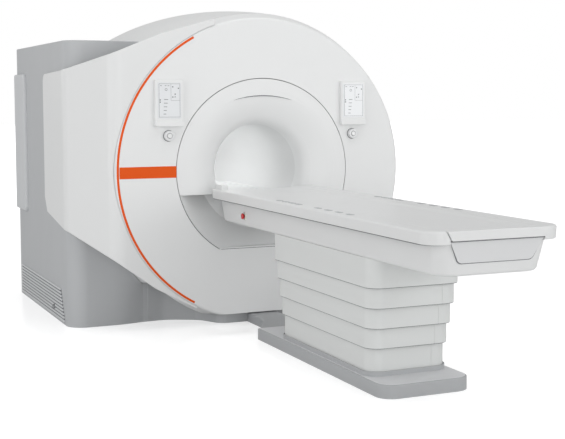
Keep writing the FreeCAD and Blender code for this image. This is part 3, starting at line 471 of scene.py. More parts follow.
def place_piece(bm, name, body, finish, stands_for=(), crease=35):
    """The finished mesh as a piece that rides on a body, shaded smooth between its edges."""
    bmesh.ops.recalc_face_normals(bm, faces=bm.faces[:])
    for face in bm.faces:
        face.smooth = True
    for edge in bm.edges:
        if len(edge.link_faces) == 2:
            edge.smooth = edge.calc_face_angle() < math.radians(crease)
    mesh = bpy.data.meshes.new(name)
    bm.to_mesh(mesh)
    bm.free()
    piece = bpy.data.objects.new(name, mesh)
    bpy.context.scene.collection.objects.link(piece)
    mesh.materials.append(FINISH[finish])
    weigh = piece.modifiers.new("Even shading", "WEIGHTED_NORMAL")
    weigh.keep_sharp = True
    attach(piece, body)
    if stands_for:
        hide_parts(*stands_for)
    return piece


def barrel(inset=0.0):
    """The mantle's bowed skin as an open tube about the bore."""
    front, rear = low("mantle_cover").y, high("mantle_cover").y
    front_radius = RIM + 0.002 - inset
    rear_radius = high("rear_cover").x - inset
    rise = 0.045
    bm = bmesh.new()
    ends = [bm.verts.new((0, front, AXIS + front_radius)), bm.verts.new((0, rear, AXIS + rear_radius))]
    line = bm.edges.new(ends)
    bmesh.ops.subdivide_edges(bm, edges=[line], cuts=23)
    half, centre = (rear - front) / 2, (rear + front) / 2
    for vert in bm.verts:
        vert.co.z += rise * (1 - ((vert.co.y - centre) / half) ** 2)
    bmesh.ops.spin(
        bm, geom=bm.verts[:] + bm.edges[:], cent=CENTRE, axis=(0, 1, 0), angle=math.tau,
        steps=COVER_STEPS, use_merge=True)
    bmesh.ops.remove_doubles(bm, verts=bm.verts[:], dist=1e-6)
    bmesh.ops.recalc_face_normals(bm, faces=bm.faces[:])
    return bm


# ---- operators ----

class SCANNER_OT_finish_frame(bpy.types.Operator):
    """Give every part of the frame its finish"""

    bl_idname = "scanner.finish_frame"
    bl_label = "Finish the Frame"

    def execute(self, context):
        make_finishes(context.scene.scanner_finishes)
        kinds = {
            "accent_arc": "accent", "name_band": "accent", "bore_liner": "bore", "bore_bridge": "bore",
            "funnel_lower": "cover", "funnel_upper": "cover", "rear_funnel": "cover",
            "magnet_vessel": "steel", "helium_vessel": "steel", "thermal_shield": "aluminium",
            "superconducting_windings": "windings", "magnet_feet": "steel", "service_turret": "steel",
            "cold_head": "aluminium", "front_cover_frame": "aluminium", "rear_cover_frame": "aluminium",
            "gradient_coil": "resin", "body_coil": "resin", "tabletop_rails": "aluminium",
            "tabletop_drive": "electronics", "lift_motor": "electronics", "radio_amplifier": "electronics",
            "gradient_amplifier": "electronics", "control_electronics": "electronics",
            "lift_tubes_inner": "steel", "lift_tubes_middle": "steel", "lift_tubes_outer": "steel",
        }
        for node, piece in frame["nodes"].items():
            piece.data.materials.clear()
            piece.data.materials.append(FINISH[kinds.get(node, "cover")])
        return {"FINISHED"}


class SCANNER_OT_front_cover(bpy.types.Operator):
    """Build the round front cover with its soft shoulder and the visor over the bore"""

    bl_idname = "scanner.front_cover"
    bl_label = "Front Cover"

    def execute(self, context):
        form = context.scene.scanner_form
        wall, hole = 0.008, 0.2
        face_radius, waist_radius = RIM - 0.035, RIM - 0.009
        waist, edge = FRONT + 0.080, FRONT + 0.103
        shell = lathe([
            (hole, FRONT),
            (face_radius, FRONT, form.shoulder, 10),
            (waist_radius, waist, 0.02, 6),
            (RIM, edge, 0.002, 2),
            (RIM - wall, edge),
            (waist_radius - wall, waist),
            (face_radius - wall, FRONT + wall),
            (hole, FRONT + wall),
        ], CENTRE, 1)
        mouth = drum(FUNNEL + 0.0045, FRONT - 0.1, FRONT + 0.05, CENTRE, 1)
        tub = low("funnel_lower").z
        mouth = carve(mouth, block((-1, FRONT - 0.2, -0.2), (1, FRONT + 0.2, tub - 0.002)))
        under = block((-2, FRONT - 0.2, -0.5), (2, 0, low("front_cover").z))
        shell = carve(shell, mouth, under)
        place_piece(shell, "front_cover_shell", "gantry", "cover", ("front_cover",), 30)

        visor_radius, brow_radius, under_radius = 0.532, 0.682, 0.800
        brow_top = AXIS + 0.49
        through = (FRONT - 0.05, FRONT + 0.05)
        visor = drum(visor_radius, FRONT + 0.0003, FRONT + 0.006, CENTRE, 1)
        sweep = drum(brow_radius, *through, (0, 0, brow_top - brow_radius), 1)
        place_piece(carve(visor, sweep), "bore_visor", "gantry", "cover")
        # A thin dark crescent under the visor's lower edge: painted shadow of the visor's shallow step.
        brow = (0, 0, brow_top + 0.0005 - brow_radius)
        lip = drum(brow_radius, FRONT - 0.0010, FRONT + 0.004, brow, 1, BUTTON_STEPS)
        under_lip = drum(under_radius, *through, (0, 0, brow_top - 0.0050 - under_radius), 1, BUTTON_STEPS)
        place_piece(carve(lip, under_lip), "visor_painted_shadow", "gantry", "painted_shade_and_ring")
        # A thin dark strip along the tub's flat bottom: painted shadow of the gap between tub and cover.
        seam_half, seam_height = 0.300, 0.0032
        shadow_line = block((-seam_half, FRONT - 0.0006, tub - seam_height), (seam_half, FRONT + 0.004, tub))
        place_piece(shadow_line, "tub_painted_shadow_line", "gantry", "painted_shade_and_ring")

        reach = face_radius - 0.013
        start, end = math.radians(119.0), math.radians(240.3)
        strip = bmesh.new()
        # The strip's section, as the distance out from its middle line and the depth behind the face.
        section = (
            (-0.007, 0.002), (-0.007, -0.0010), (-0.0060, -0.0014), (0.002, -0.0012), (0.0060, 0.0001),
            (0.0070, 0.0012), (0.0070, 0.004))
        dots = [strip.verts.new((0, FRONT + depth, AXIS + reach + out)) for out, depth in section]
        for pair in zip(dots, dots[1:] + dots[:1]):
            strip.edges.new(pair)
        turned = Matrix.Rotation(math.pi / 2 - start, 3, "Y")
        bmesh.ops.rotate(strip, verts=strip.verts[:], cent=CENTRE, matrix=turned)
        bmesh.ops.spin(
            strip, geom=strip.verts[:] + strip.edges[:], cent=CENTRE, axis=(0, 1, 0), angle=start - end,
            steps=120)
        bmesh.ops.remove_doubles(strip, verts=strip.verts[:], dist=1e-6)
        bmesh.ops.holes_fill(strip, edges=strip.edges[:], sides=0)
        place_piece(strip, "accent_strip", "gantry", "accent", ("accent_arc",))
        return {"FINISHED"}


class SCANNER_OT_body_covers(bpy.types.Operator):
    """Build the bowed mantle, the rear cover and the flared front surround"""

    bl_idname = "scanner.body_covers"
    bl_label = "Body Covers"

    def execute(self, context):
        foot_half = 0.742
        mantle = barrel()
        bmesh.ops.solidify(mantle, geom=mantle.faces[:], thickness=0.007)
        under = block((-foot_half, -2, -0.5), (foot_half, 2, high("plinth").z + 0.1))
        place_piece(carve(mantle, under), "mantle_shell", "gantry", "cover", ("mantle_cover",), 30)

        wall = 0.008
        outer = high("rear_cover").x
        inner = high("rear_funnel").x + 0.002
        shoulder, edge = outer - 0.034, REAR - 0.067
        rear = lathe([
            (inner, REAR, 0.003, 3),
            (shoulder, REAR, 0.03, 8),
            (outer, edge, 0.002, 2),
            (outer - wall, edge),
            (shoulder - wall, REAR - wall),
            (inner, REAR - wall),
        ], CENTRE, 1)
        below = block((-2, 0, -0.5), (2, 2, low("rear_cover").z))
        place_piece(carve(rear, below), "rear_cover_shell", "gantry", "cover", ("rear_cover",), 30)

        surround = soften(copied("front_surround"), context.scene.scanner_form.surround_edge, 3, bends(40))
        place_piece(surround, "surround_shell", "gantry", "surround", ("front_surround",), 30)
        return {"FINISHED"}


class SCANNER_OT_cabinet(bpy.types.Operator):
    """Build the side cabinet with its raised panel, louvres and lock"""

    bl_idname = "scanner.cabinet"
    bl_label = "Side Cabinet"

    def execute(self, context):
        small, large = low("side_cabinet"), high("side_cabinet")
        fold = large.x - 0.148
        turn_in = small.y + 0.036
        body = slab([
            (large.x, large.y, 0), (small.x, large.y, 0), (small.x, small.y, 0), (fold, small.y, 0),
            (large.x, turn_in, 0),
        ], (0, 0, large.z))
        soften(body, 0.118, 20, runs(2), at(0, small.x), at(1, small.y))
        soften(body, 0.06, 12, runs(2), at(0, fold), at(1, small.y))
        soften(body, 0.008, 3, runs(2), at(1, large.y))
        soften(body, 0.006, 3, at(2, large.z), bends(30))
        room = barrel(-0.003)
        bmesh.ops.holes_fill(room, edges=room.edges[:], sides=0)
        front_room = drum(RIM + 0.005, FRONT - 0.1, 0.0, CENTRE, 1)
        rear_room = drum(high("rear_cover").x + 0.003, 0.0, 1.2, CENTRE, 1)
        body = carve(body, room, front_room, rear_room)
        place_piece(body, "cabinet_shell", "gantry", "cabinet", ("side_cabinet",), 30)
        small, large = low("side_panel"), high("side_panel")
        panel = block(small, large)
        soften(panel, 0.040, 10, runs(0), at(1, small.y))
        soften(panel, large.x - small.x - 0.006, 5, at(0, small.x), bends(60), off(1, large.y))
        place_piece(panel, "side_panel_shell", "gantry", "cabinet_light", ("side_panel",), 40)

        small, large = low("vent_grille"), high("vent_grille")
        gaps, blade_height = 9, 0.011
        front_low, front_high = -0.517, -0.412
        pitch = (large.z - small.z - blade_height) / gaps
        blades = bmesh.new()
        for index in range(gaps + 1):
            floor = small.z + pitch * index
            start = front_low + (front_high - front_low) * index / gaps
            blade = block((small.x, start, floor), (large.x, large.y, floor + blade_height))
            for vert in blade.verts:
                if vert.co.x < large.x - 0.001 and vert.co.z > floor + 0.005:
                    vert.co.x += 0.005
            soften(blade, 0.0015, 2, at(0, small.x))
            merged(blades, blade)
        lock = middle("vent_lock")
        eye = drum(0.018, small.x - 0.05, large.x + 0.05, lock, 0, EYE_STEPS)
        place_piece(carve(blades, eye), "louvre_blades", "gantry", "cabinet_light", ("vent_grille",), 30)
        # A dark plate behind the blades: painted shade of the dark space behind the louvres.
        back = slab([
            (large.x, front_low, small.z), (large.x, front_high, large.z), (large.x, large.y, large.z),
            (large.x, large.y, small.z),
        ], (-0.0012, 0, 0))
        place_piece(back, "louvre_painted_shade", "gantry", "painted_shade_and_ring")
        start = low("vent_lock").x
        bar = button(0.013, start, high("vent_lock").x, lock, 0, 0.0015)
        slot_half, slot_rise = 0.002, 0.009
        slot = block(
            (start - 0.001, lock.y - slot_half, lock.z - slot_rise),
            (start + 0.004, lock.y + slot_half, lock.z + slot_rise))
        place_piece(carve(bar, slot), "louvre_lock", "vent_catch", "metal", ("vent_lock",))
        return {"FINISHED"}


class SCANNER_OT_floor_parts(bpy.types.Operator):
    """Build the plinth under the gantry and the duct to the pedestal"""

    bl_idname = "scanner.floor_parts"
    bl_label = "Plinth and Duct"

    def execute(self, context):
        small, large = low("plinth"), high("plinth")
        shoulder, nose, flank = 0.560, 0.290, 0.371
        middle_y = small.y + 0.292
        side_y = middle_y - 0.012
        flank_y = small.y + 0.183
        skirt = slab([
            (large.x, large.y, 0), (small.x, large.y, 0), (small.x, side_y, 0), (-shoulder, middle_y, 0),
            (shoulder, middle_y, 0), (large.x, side_y, 0),
        ], (0, 0, large.z))
        place_piece(hollow(skirt, 0.006), "plinth_skirt", "gantry", "cabinet", ("plinth",), 30)
        toe_height = high("floor_duct").z
        toe = slab([
            (shoulder, middle_y + 0.02, 0), (-shoulder, middle_y + 0.02, 0), (-shoulder, middle_y, 0),
            (-flank, flank_y, 0), (-nose, small.y, 0), (nose, small.y, 0), (flank, flank_y, 0),
            (shoulder, middle_y, 0),
        ], (0, 0, toe_height))
        soften(toe, 0.05, 10, runs(2), at(1, flank_y))
        soften(toe, 0.05, 10, runs(2), at(1, small.y))
        soften(toe, 0.004, 3, at(2, toe_height), bends(30))
        place_piece(toe, "plinth_toe", "gantry", "cabinet", (), 30)
        cheeks = bmesh.new()
        # Each cheek runs in a soft bend from the skirt's side to the toe's flank.
        for side in (-1, 1):
            cheek = slab([(side * x, y, 0) for x, y in (
                (0.720, middle_y + 0.05), (0.700, side_y - 0.001), (0.620, middle_y - 0.004),
                (0.580, middle_y - 0.010), (0.545, middle_y - 0.019), (0.515, middle_y - 0.031),
                (0.480, middle_y - 0.0485), (flank, flank_y - 0.0015), (flank - 0.03, flank_y + 0.06),
            )], (0, 0, large.z))
            ends = sorted((side * 0.300, side * 0.372))
            wall = block(
                (ends[0], low("mantle_cover").y + 0.002, toe_height + 0.002), (ends[1], flank_y + 0.02, 0.2))
            merged(cheeks, cheek, wall)
        place_piece(cheeks, "plinth_cheeks", "gantry", "cabinet", (), 30)

        small, large = low("floor_duct"), high("floor_duct")
        wide, narrow, bend_y = large.x, 0.100, large.y - 0.28
        duct = slab([
            (-narrow, large.y, 0), (-narrow, bend_y, 0), (-wide, small.y, 0), (wide, small.y, 0),
            (narrow, bend_y, 0), (narrow, large.y, 0),
        ], (0, 0, large.z))
        soften(duct, 0.06, 8, runs(2), at(1, bend_y))
        soften(duct, 0.010, 4, at(2, large.z), bends(30))
        place_piece(duct, "floor_duct_shell", "gantry", "base", ("floor_duct",), 30)
        return {"FINISHED"}


class SCANNER_OT_controls(bpy.types.Operator):
    """Build the control panels with their screens, and the turning knobs"""

    bl_idname = "scanner.controls"
    bl_label = "Controls"

    def execute(self, context):
        for side in ("left", "right"):
            node = "control_panel_" + side
            small, large = low(node), high(node)
            face = small.y + 0.009
            case = block((small.x, face, small.z), large)
            soften(case, 0.010, 5, runs(1))
            soften(case, 0.004, 4, at(1, face), bends(30))
            ledge = block(small, (large.x, face + 0.004, small.z + 0.034))
            soften(ledge, 0.007, 4, runs(1))
            soften(ledge, 0.0035, 3, at(1, small.y), bends(30))
            place_piece(merged(case, ledge), "control_case_" + side, "gantry", "cover", (node,))

            small, large = low("display_" + side), high("display_" + side)
            glass = block(small, large)
            soften(glass, 0.006, 4, runs(1))
            soften(glass, 0.0006, 2, at(1, small.y), bends(30))
            place_piece(glass, "screen_" + side, "gantry", "screen", ("display_" + side,))

            width, height = large.x - small.x, large.z - small.z
            proud = small.y - 0.0004
            marks = bmesh.new()

            def dash(x, z, wide, tall):
                """A printed dash at a share of the screen."""
                corner = (small.x + x * width, proud, small.z + z * height)
                merged(marks, block(corner, (corner[0] + wide, small.y + 0.0005, corner[2] + tall)))

            # The screen's frame and the two lines of its corner window.
            frame_line, fine_line = 0.0016, 0.0012
            for x, z, wide, tall in (
                (0.05, 0.04, 0.90 * width, frame_line), (0.05, 0.955, 0.90 * width, frame_line),
                (0.05, 0.04, frame_line, 0.915 * height), (0.94, 0.04, frame_line, 0.92 * height),
                (0.56, 0.50, fine_line, 0.45 * height), (0.56, 0.50, 0.38 * width, fine_line),
            ):
                dash(x, z, wide, tall)
            for x in (0.10, 0.30, 0.42):
                dash(x, 0.90, 0.012, 0.0025)
            for row in range(5):
                dash(0.27 - 0.008 * row, 0.52 - 0.1 * row, 0.026 - 0.002 * row, 0.003)
            for x, z in ((0.62, 0.86), (0.86, 0.82), (0.72, 0.66), (0.62, 0.58), (0.08, 0.50), (0.08, 0.44)):
                dash(x, z, 0.007, 0.007)
            for x, z, radius in ((0.36, 0.80, 0.008), (0.74, 0.60, 0.004)):
                spot = (small.x + x * width, 0, small.z + z * height)
                merged(marks, button(radius, proud, small.y + 0.0005, spot, 1, 0.0001, radius - 0.002))
            place_piece(marks, "screen_marks_" + side, "gantry", "mark")

            spot = middle("knob_dial_" + side)
            small, large = low("knob_dial_" + side), high("knob_dial_" + side)
            radius, dial_bore = (large.x - small.x) / 2, 0.0175
            dial = lathe([
                (radius, large.y, 0.001, 2), (radius, small.y, 0.005, 4), (dial_bore, small.y, 0.0015, 3),
                (dial_bore, large.y),
            ], spot, 1, BUTTON_STEPS)
            # A dark ring a little wider than the dial at its foot: painted shadow round the knob.
            rim = button(radius + 0.0035, FRONT - 0.0009, FRONT + 0.002, spot, 1, 0.0003)
            place_piece(rim, "knob_painted_shadow_" + side, "gantry", "painted_shade_and_ring")
            place_piece(dial, "knob_ring_" + side, "knob_ring_" + side, "knob", ("knob_dial_" + side,))
            start = low("knob_button_" + side).y
            cap = merged(
                button(0.0152, start, large.y - 0.002, spot, 1, 0.002),
                button(0.008, large.y - 0.002, high("knob_button_" + side).y, spot, 1, 0.001))
            place_piece(cap, "knob_cap_" + side, "knob_press_" + side, "button", ("knob_button_" + side,))
        return {"FINISHED"}


class SCANNER_OT_table(bpy.types.Operator):
    """Build the patient table: body, rim, tabletop, end panel and stop buttons"""

    bl_idname = "scanner.table"
    bl_label = "Patient Table"

    def execute(self, context):
        form = context.scene.scanner_form
        small, large = low("table_housing"), high("table_housing")
        body_foot, body_top = 0.278, 0.302
        halfway = -2
        body = block(small, large)
        for vert in body.verts:
            if vert.co.z < (small.z + large.z) / 2:
                vert.co.x *= body_foot / body_top
                if vert.co.y < halfway:
                    vert.co.y += FOOT_LEAN
        bmesh.ops.recalc_face_normals(body, faces=body.faces[:])
        corner_edges = [
            edge for edge in body.edges
            if abs(edge.verts[0].co.z - edge.verts[1].co.z) > 0.05 and edge.verts[0].co.y < halfway]
        soften(body, form.housing_corner, 10, lambda edge: edge in corner_edges)
        soften(body, 0.016, 4, at(2, small.z), bends(30), off(1, large.y))
        place_piece(body, "table_body", "table", "table", ("table_housing",), 30)

        small, large = low("table_rim"), high("table_rim")
        rim_foot, rim_top = 0.359, 0.365
        rim = block(small, large)
        soften(rim, 0.1, 20, runs(2), at(1, small.y))
        for vert in rim.verts:
            if vert.co.z < small.z + 0.01:
                vert.co.x *= rim_foot / rim_top
        bmesh.ops.recalc_face_normals(rim, faces=rim.faces[:])
        soften(rim, form.rim_edge, 5, at(2, large.z), bends(30), off(1, large.y))
        soften(rim, 0.005, 3, at(2, small.z), bends(30), off(1, large.y))
        floor, before, above = small.z + 0.015, small.y - 0.05, large.z + 0.05
        bed, brim, notch = 0.248, 0.273, 0.2505
        channel = slab([
            (-bed, before, floor), (bed, before, floor), (brim, before, large.z), (brim, before, above),
            (-brim, before, above), (-brim, before, large.z),
        ], (0, large.y - small.y + 0.1, 0))
        foot = block((-notch, before, small.z - 0.05), (notch, small.y + 0.04, floor + 0.001))
        place_piece(carve(rim, channel, foot), "table_rim_shell", "table", "table", ("table_rim",), 30)

        # A dark band just under the rim's lower edge: painted shadow where the rim overhangs the table body.
        inward, shadow_start = 0.008, small.y + 0.025
        painted_shadow = block(
            (small.x + inward, shadow_start, small.z - 0.0028), (large.x - inward, large.y, small.z + 0.001))
        soften(painted_shadow, 0.09, 16, runs(2), at(1, shadow_start))
        place_piece(painted_shadow, "rim_painted_shadow", "table", "painted_shadow", (), 30)

        small, large = low("tabletop"), high("tabletop")
        length = (0, large.y - small.y, 0)
        board_foot, board_top = 0.245, 0.270
        top = slab([
            (-board_foot, small.y, small.z), (board_foot, small.y, small.z), (board_top, small.y, large.z),
            (-board_top, small.y, large.z),
        ], length)
        dish_floor, dish_top = 0.196, 0.252
        dish_start, sunk, over = small.y + 0.085, large.z - 0.008, large.z + 0.010
        dish = slab([
            (-dish_floor, dish_start, sunk), (dish_floor, dish_start, sunk), (dish_top, dish_start, over),
            (-dish_top, dish_start, over),
        ], length)
        for vert in dish.verts:
            if vert.co.z > large.z and vert.co.y < halfway:
                vert.co.y -= 0.035
        soften(dish, 0.020, 6, at(2, sunk), bends(10))
        top = carve(top, dish)
        soften(top, 0.003, 3, bends(40), off(1, large.y))
        place_piece(top, "tabletop_board", "tabletop", "table", ("tabletop",), 30)
        # A thin lighter, glossier strip across the dished top: painted highlight standing for the lit edge
        # of a step.
        step_highlight = block((-0.121, -1.379, sunk - 0.0005), (0.212, -1.372, sunk + 0.0006))
        place_piece(step_highlight, "tabletop_step_highlight", "tabletop", "button")

        small, large = low("end_panel"), high("end_panel")
        lean = FOOT_LEAN / (high("table_housing").z - low("table_housing").z)
        panel_foot, panel_crest, crest = 0.1955, 0.2485, large.z + 0.0125
        # The panel, and behind it a slightly larger dark plate whose edge shows as a dark outline: painted
        # shadow of a groove round the panel.
        for name, grow, back, deep, finish, stands_for in (
            ("end_panel_shell", 0.0, 0.0, 0.006, "panel", ("end_panel",)),
            ("end_panel_painted_outline_shadow", 0.0032, 0.0035, 0.005, "painted_shadow", ()),
        ):
            ends = []
            for z, half in ((small.z - grow, panel_foot + grow), (crest + grow, panel_crest)):
                ends.append((small.y + (large.z - z) * lean + back, z, half))
            (foot_y, foot_z, foot_half), (crest_y, crest_z, crest_half) = ends
            panel = slab([
                (-foot_half, foot_y, foot_z), (foot_half, foot_y, foot_z), (crest_half, crest_y, crest_z),
                (-crest_half, crest_y, crest_z),
            ], (0, deep, 0))
            soften(panel, 0.018, 6, runs(1), at(2, foot_z))
            if stands_for:
                soften(panel, 0.002, 3, bends(60))
            place_piece(panel, name, "table", finish, stands_for, 30)

        # A dark strip under the tabletop's foot end: painted shadow of the groove between the tabletop and
        # the end panel.
        seam_half, seam_z, seam_y = 0.2475, low("tabletop").z - 0.0014, low("tabletop").y
        shadow_line = block(
            (-seam_half, seam_y + 0.0012, seam_z - 0.0022), (seam_half, seam_y + 0.03, seam_z + 0.001))
        place_piece(shadow_line, "end_panel_painted_shadow_line", "table", "painted_shade_and_ring")

        deck, socket_rise, upstand_rise = high("table_rim").z, 0.0018, 0.032
        # Low pads, darker than the rim, along both sides: painted shade standing for the accessory slots.
        sockets = bmesh.new()
        for side in (-1, 1):
            ends = sorted((side * 0.304, side * 0.330))
            for start in (-2.3, -2.21, -2.12, -2.03, -2.95, -2.82, -2.69, -2.56):
                socket = block((ends[0], start, deck - 0.002), (ends[1], start + 0.062, deck + socket_rise))
                soften(socket, 0.006, 3, runs(2))
                soften(socket, 0.001, 2, at(2, deck + socket_rise), bends(30))
                merged(sockets, socket)
        place_piece(sockets, "accessory_sockets", "table", "socket")
        upstand = block((-0.345, -1.10, deck - 0.004), (-0.300, -0.985, deck + upstand_rise))
        soften(upstand, 0.012, 6, runs(0), at(2, deck + upstand_rise))
        soften(upstand, 0.004, 3, bends(30), lambda edge: edge.verts[0].co.z > deck)
        place_piece(upstand, "rim_upstand", "table", "table")

        for side, sign in (("left", -1), ("right", 1)):
            node = "estop_collar_" + side
            spot = middle(node)
            ends = (low(node).x, high(node).x)
            collar = button(0.025, ends[0], ends[1], spot, 0, 0.003, 0.0095)
            place_piece(collar, "stop_label_" + side, "table", "label", (node,))
            face = ends[0] if sign < 0 else ends[1]
            ring = button(0.0228, face + sign * 0.0004, face - sign * 0.001, spot, 0, 0.0001, 0.0208)
            place_piece(ring, "stop_ring_" + side, "table", "painted_shade_and_ring")
            node = "estop_button_" + side
            small, large = low(node), high(node)
            neck = small.x + 0.010 if sign < 0 else large.x - 0.010
            head, tail = (small.x, neck), (neck, large.x)
            if sign > 0:
                head, tail = tail, head
            cap = merged(button(0.0185, *head, spot, 0, 0.004), button(0.009, *tail, spot, 0, 0.0005))
            place_piece(cap, "stop_cap_" + side, "stop_button_" + side, "stop", (node,))
        return {"FINISHED"}


class SCANNER_OT_pedestal(bpy.types.Operator):
    """Build the telescopic shells, the base plate and its trim"""

    bl_idname = "scanner.pedestal"
    bl_label = "Lifting Pedestal"

    def execute(self, context):
        bodies = ("table", "pedestal_stage_upper", "pedestal_stage_middle", "pedestal_stage_lower", "gantry")
        for index, body in enumerate(bodies, 1):
            node = "pedestal_shell_%d" % index
            small, large = low(node), high(node)
            shell = block(small, large)
            soften(shell, 0.08, 14, runs(2))
            if index > 1:
                groove, groove_width, groove_depth = large.x - 0.105, 0.002, 0.0016
                shell = carve(shell, block(
                    (groove, small.y - 0.02, small.z - 0.01),
                    (groove + groove_width, small.y + groove_depth, large.z + 0.01)))
            lip = 0.0088 if index < 5 else 0.0
            shell = hollow(shell, 0.0045, lip)
            place_piece(shell, "pedestal_cover_%d" % index, body, "pedestal", (node,), 30)
            if index < 5:
                # A dark band just below each upper shell's edge: painted shadow cast by the overhanging
                # shell on the one below.
                inward = 0.0012
                painted_shadow = block(
                    (small.x + inward, small.y + inward, small.z - 0.0028),
                    (large.x - inward, large.y - inward, small.z + 0.003))
                soften(painted_shadow, 0.079, 14, runs(2))
                place_piece(hollow(painted_shadow, 0.006), "shell_painted_shadow_%d" % index, body, "painted_shadow", (), 30)

        small, large = low("base_plate"), high("base_plate")
        plate = block(small, large)
        soften(plate, 0.088, 14, runs(2), at(1, small.y))
        soften(plate, 0.006, 4, at(2, large.z), bends(30))
        place_piece(plate, "base_plate_shell", "gantry", "base", ("base_plate",), 30)

        # A thin lighter plate on the base's top: painted light, so the top reads brighter than the sides.
        inward = 0.007
        deck = block(
            (small.x + inward, small.y + inward, large.z - 0.001),
            (large.x - inward, large.y - 0.003, large.z + 0.0006))
        soften(deck, 0.082, 14, runs(2), at(1, small.y + inward))
        place_piece(deck, "base_plate_painted_light_top", "gantry", "deck", (), 30)

        small, large = low("base_trim"), high("base_trim")
        trim = block(small, large)
        soften(trim, 0.09, 14, runs(2))
        soften(trim, 0.003, 3, at(2, large.z), bends(30))
        place_piece(hollow(trim, 0.0095), "base_trim_ring", "gantry", "base", ("base_trim",), 30)
        return {"FINISHED"}


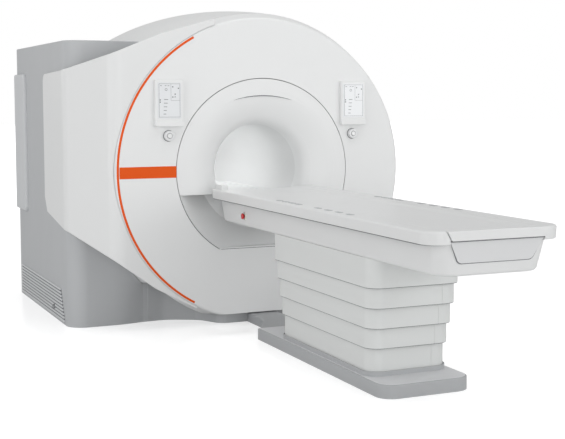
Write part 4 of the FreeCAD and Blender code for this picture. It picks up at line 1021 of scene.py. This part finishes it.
class SCANNER_OT_stage(bpy.types.Operator):
    """Set up the floor, the lights and the camera"""

    bl_idname = "scanner.stage"
    bl_label = "Studio"

    def execute(self, context):
        stage = context.scene.scanner_stage
        world = bpy.data.worlds.new("studio_white")
        world.use_nodes = True
        back = world.node_tree.nodes["Background"]
        back.inputs["Color"].default_value = (1, 1, 1, 1)
        back.inputs["Strength"].default_value = stage.sky
        seen = add(world.node_tree, "ShaderNodeBackground", Color=(1, 1, 1, 1), Strength=1.0)
        path = world.node_tree.nodes.new("ShaderNodeLightPath")
        mix = world.node_tree.nodes.new("ShaderNodeMixShader")
        links = world.node_tree.links
        links.new(path.outputs["Is Camera Ray"], mix.inputs["Fac"])
        links.new(back.outputs["Background"], mix.inputs[1])
        links.new(seen.outputs["Background"], mix.inputs[2])
        links.new(mix.outputs["Shader"], world.node_tree.nodes["World Output"].inputs["Surface"])
        context.scene.world = world

        bm = bmesh.new()
        bmesh.ops.create_grid(bm, x_segments=1, y_segments=1, size=60.0)
        mesh = bpy.data.meshes.new("studio_floor")
        bm.to_mesh(mesh)
        bm.free()
        floor = bpy.data.objects.new("studio_floor", mesh)
        context.scene.collection.objects.link(floor)
        # The floor glows a little to the camera, and more with distance, so it fades into the white.
        material, tree, shader = shader_nodes("studio_floor_white")
        shader.inputs["Base Color"].default_value = (0.86, 0.86, 0.86, 1)
        shader.inputs["Roughness"].default_value = 0.12
        shader.inputs["Specular IOR Level"].default_value = 0.5
        shader.inputs["Emission Color"].default_value = (1, 1, 1, 1)
        seen = tree.nodes.new("ShaderNodeLightPath")
        lift = tree.nodes.new("ShaderNodeMath")
        lift.operation = "MULTIPLY"
        away = add(tree, "ShaderNodeVectorMath")
        away.operation = "LENGTH"
        tree.links.new(object_place(tree), away.inputs[0])
        fade = tree.nodes.new("ShaderNodeMapRange")
        fade.inputs["From Min"].default_value = 4.0
        fade.inputs["From Max"].default_value = 12.0
        fade.inputs["To Min"].default_value = 0.5
        fade.inputs["To Max"].default_value = 1.0
        tree.links.new(away.outputs["Value"], fade.inputs["Value"])
        tree.links.new(fade.outputs["Result"], lift.inputs[1])
        tree.links.new(seen.outputs["Is Camera Ray"], lift.inputs[0])
        tree.links.new(lift.outputs["Value"], shader.inputs["Emission Strength"])
        mesh.materials.append(material)

        # Each light's place and aim in metres, its power in watts and its size across and along.
        for name, place, aim, power, across, along in (
            ("bore_light", (0.0, 0.2, AXIS + 0.28), (0.0, 0.2, 0.0), 3.1, 0.2, 1.35),
            ("low_light", (-3.0, -15.0, 0.9), (0.0, -1.0, 0.7), 330.0, 5.0, 5.0),
            ("fill_light", (-7.5, -4.0, 1.8), (0.0, -1.0, 0.9), 150.0, 5.0, 5.0),
            ("key_light", (7.5, -13.0, 3.4), (0.0, -1.0, 0.6), 400.0, 7.0, 7.0),
            ("top_light", (0.5, -2.5, 7.0), (0.0, -1.5, 0.3), 130.0, 6.0, 6.0),
            ("rear_light", (-6.0, 5.0, 4.0), (0.0, 0.0, 1.2), 85.0, 5.0, 5.0),
        ):
            data = bpy.data.lights.new(name, "AREA")
            data.energy = power
            data.shape = "RECTANGLE"
            data.size, data.size_y = across, along
            lamp = bpy.data.objects.new(name, data)
            lamp.location = place
            lamp.visible_camera = False
            lamp.rotation_euler = (Vector(aim) - Vector(place)).to_track_quat("-Z", "Y").to_euler()
            context.scene.collection.objects.link(lamp)

        data = bpy.data.cameras.new("camera")
        data.lens = stage.lens
        data.shift_x, data.shift_y = stage.shift
        data.clip_end = 200.0
        camera = bpy.data.objects.new("camera", data)
        camera.location = stage.place
        camera.rotation_euler = (stage.tilt, 0.0, stage.turn)
        context.scene.collection.objects.link(camera)
        context.scene.camera = camera
        context.scene.view_settings.view_transform = "Standard"
        return {"FINISHED"}


OPERATORS = (
    SCANNER_OT_finish_frame, SCANNER_OT_front_cover, SCANNER_OT_body_covers, SCANNER_OT_cabinet,
    SCANNER_OT_floor_parts, SCANNER_OT_controls, SCANNER_OT_table, SCANNER_OT_pedestal, SCANNER_OT_stage,
)
GROUPS = (ScannerFinishes, ScannerForm, ScannerStage)


class SCANNER_PT_pieces(bpy.types.Panel):
    """Buttons that build the scanner's pieces"""

    bl_idname = "SCANNER_PT_pieces"
    bl_label = "Scanner"
    bl_space_type = "VIEW_3D"
    bl_region_type = "UI"
    bl_category = "Scanner"

    def draw(self, context):
        for item in OPERATORS:
            self.layout.operator(item.bl_idname)


def register():
    for item in (*GROUPS, *OPERATORS, SCANNER_PT_pieces):
        bpy.utils.register_class(item)
    bpy.types.Scene.scanner_finishes = bpy.props.PointerProperty(type=ScannerFinishes)
    bpy.types.Scene.scanner_form = bpy.props.PointerProperty(type=ScannerForm)
    bpy.types.Scene.scanner_stage = bpy.props.PointerProperty(type=ScannerStage)


def unregister():
    del bpy.types.Scene.scanner_stage
    del bpy.types.Scene.scanner_form
    del bpy.types.Scene.scanner_finishes
    for item in reversed((*GROUPS, *OPERATORS, SCANNER_PT_pieces)):
        bpy.utils.unregister_class(item)


def main():
    register()
    for operator in OPERATORS:
        group, name = operator.bl_idname.split(".")
        getattr(getattr(bpy.ops, group), name)()


if __name__ == "__main__":
    main()
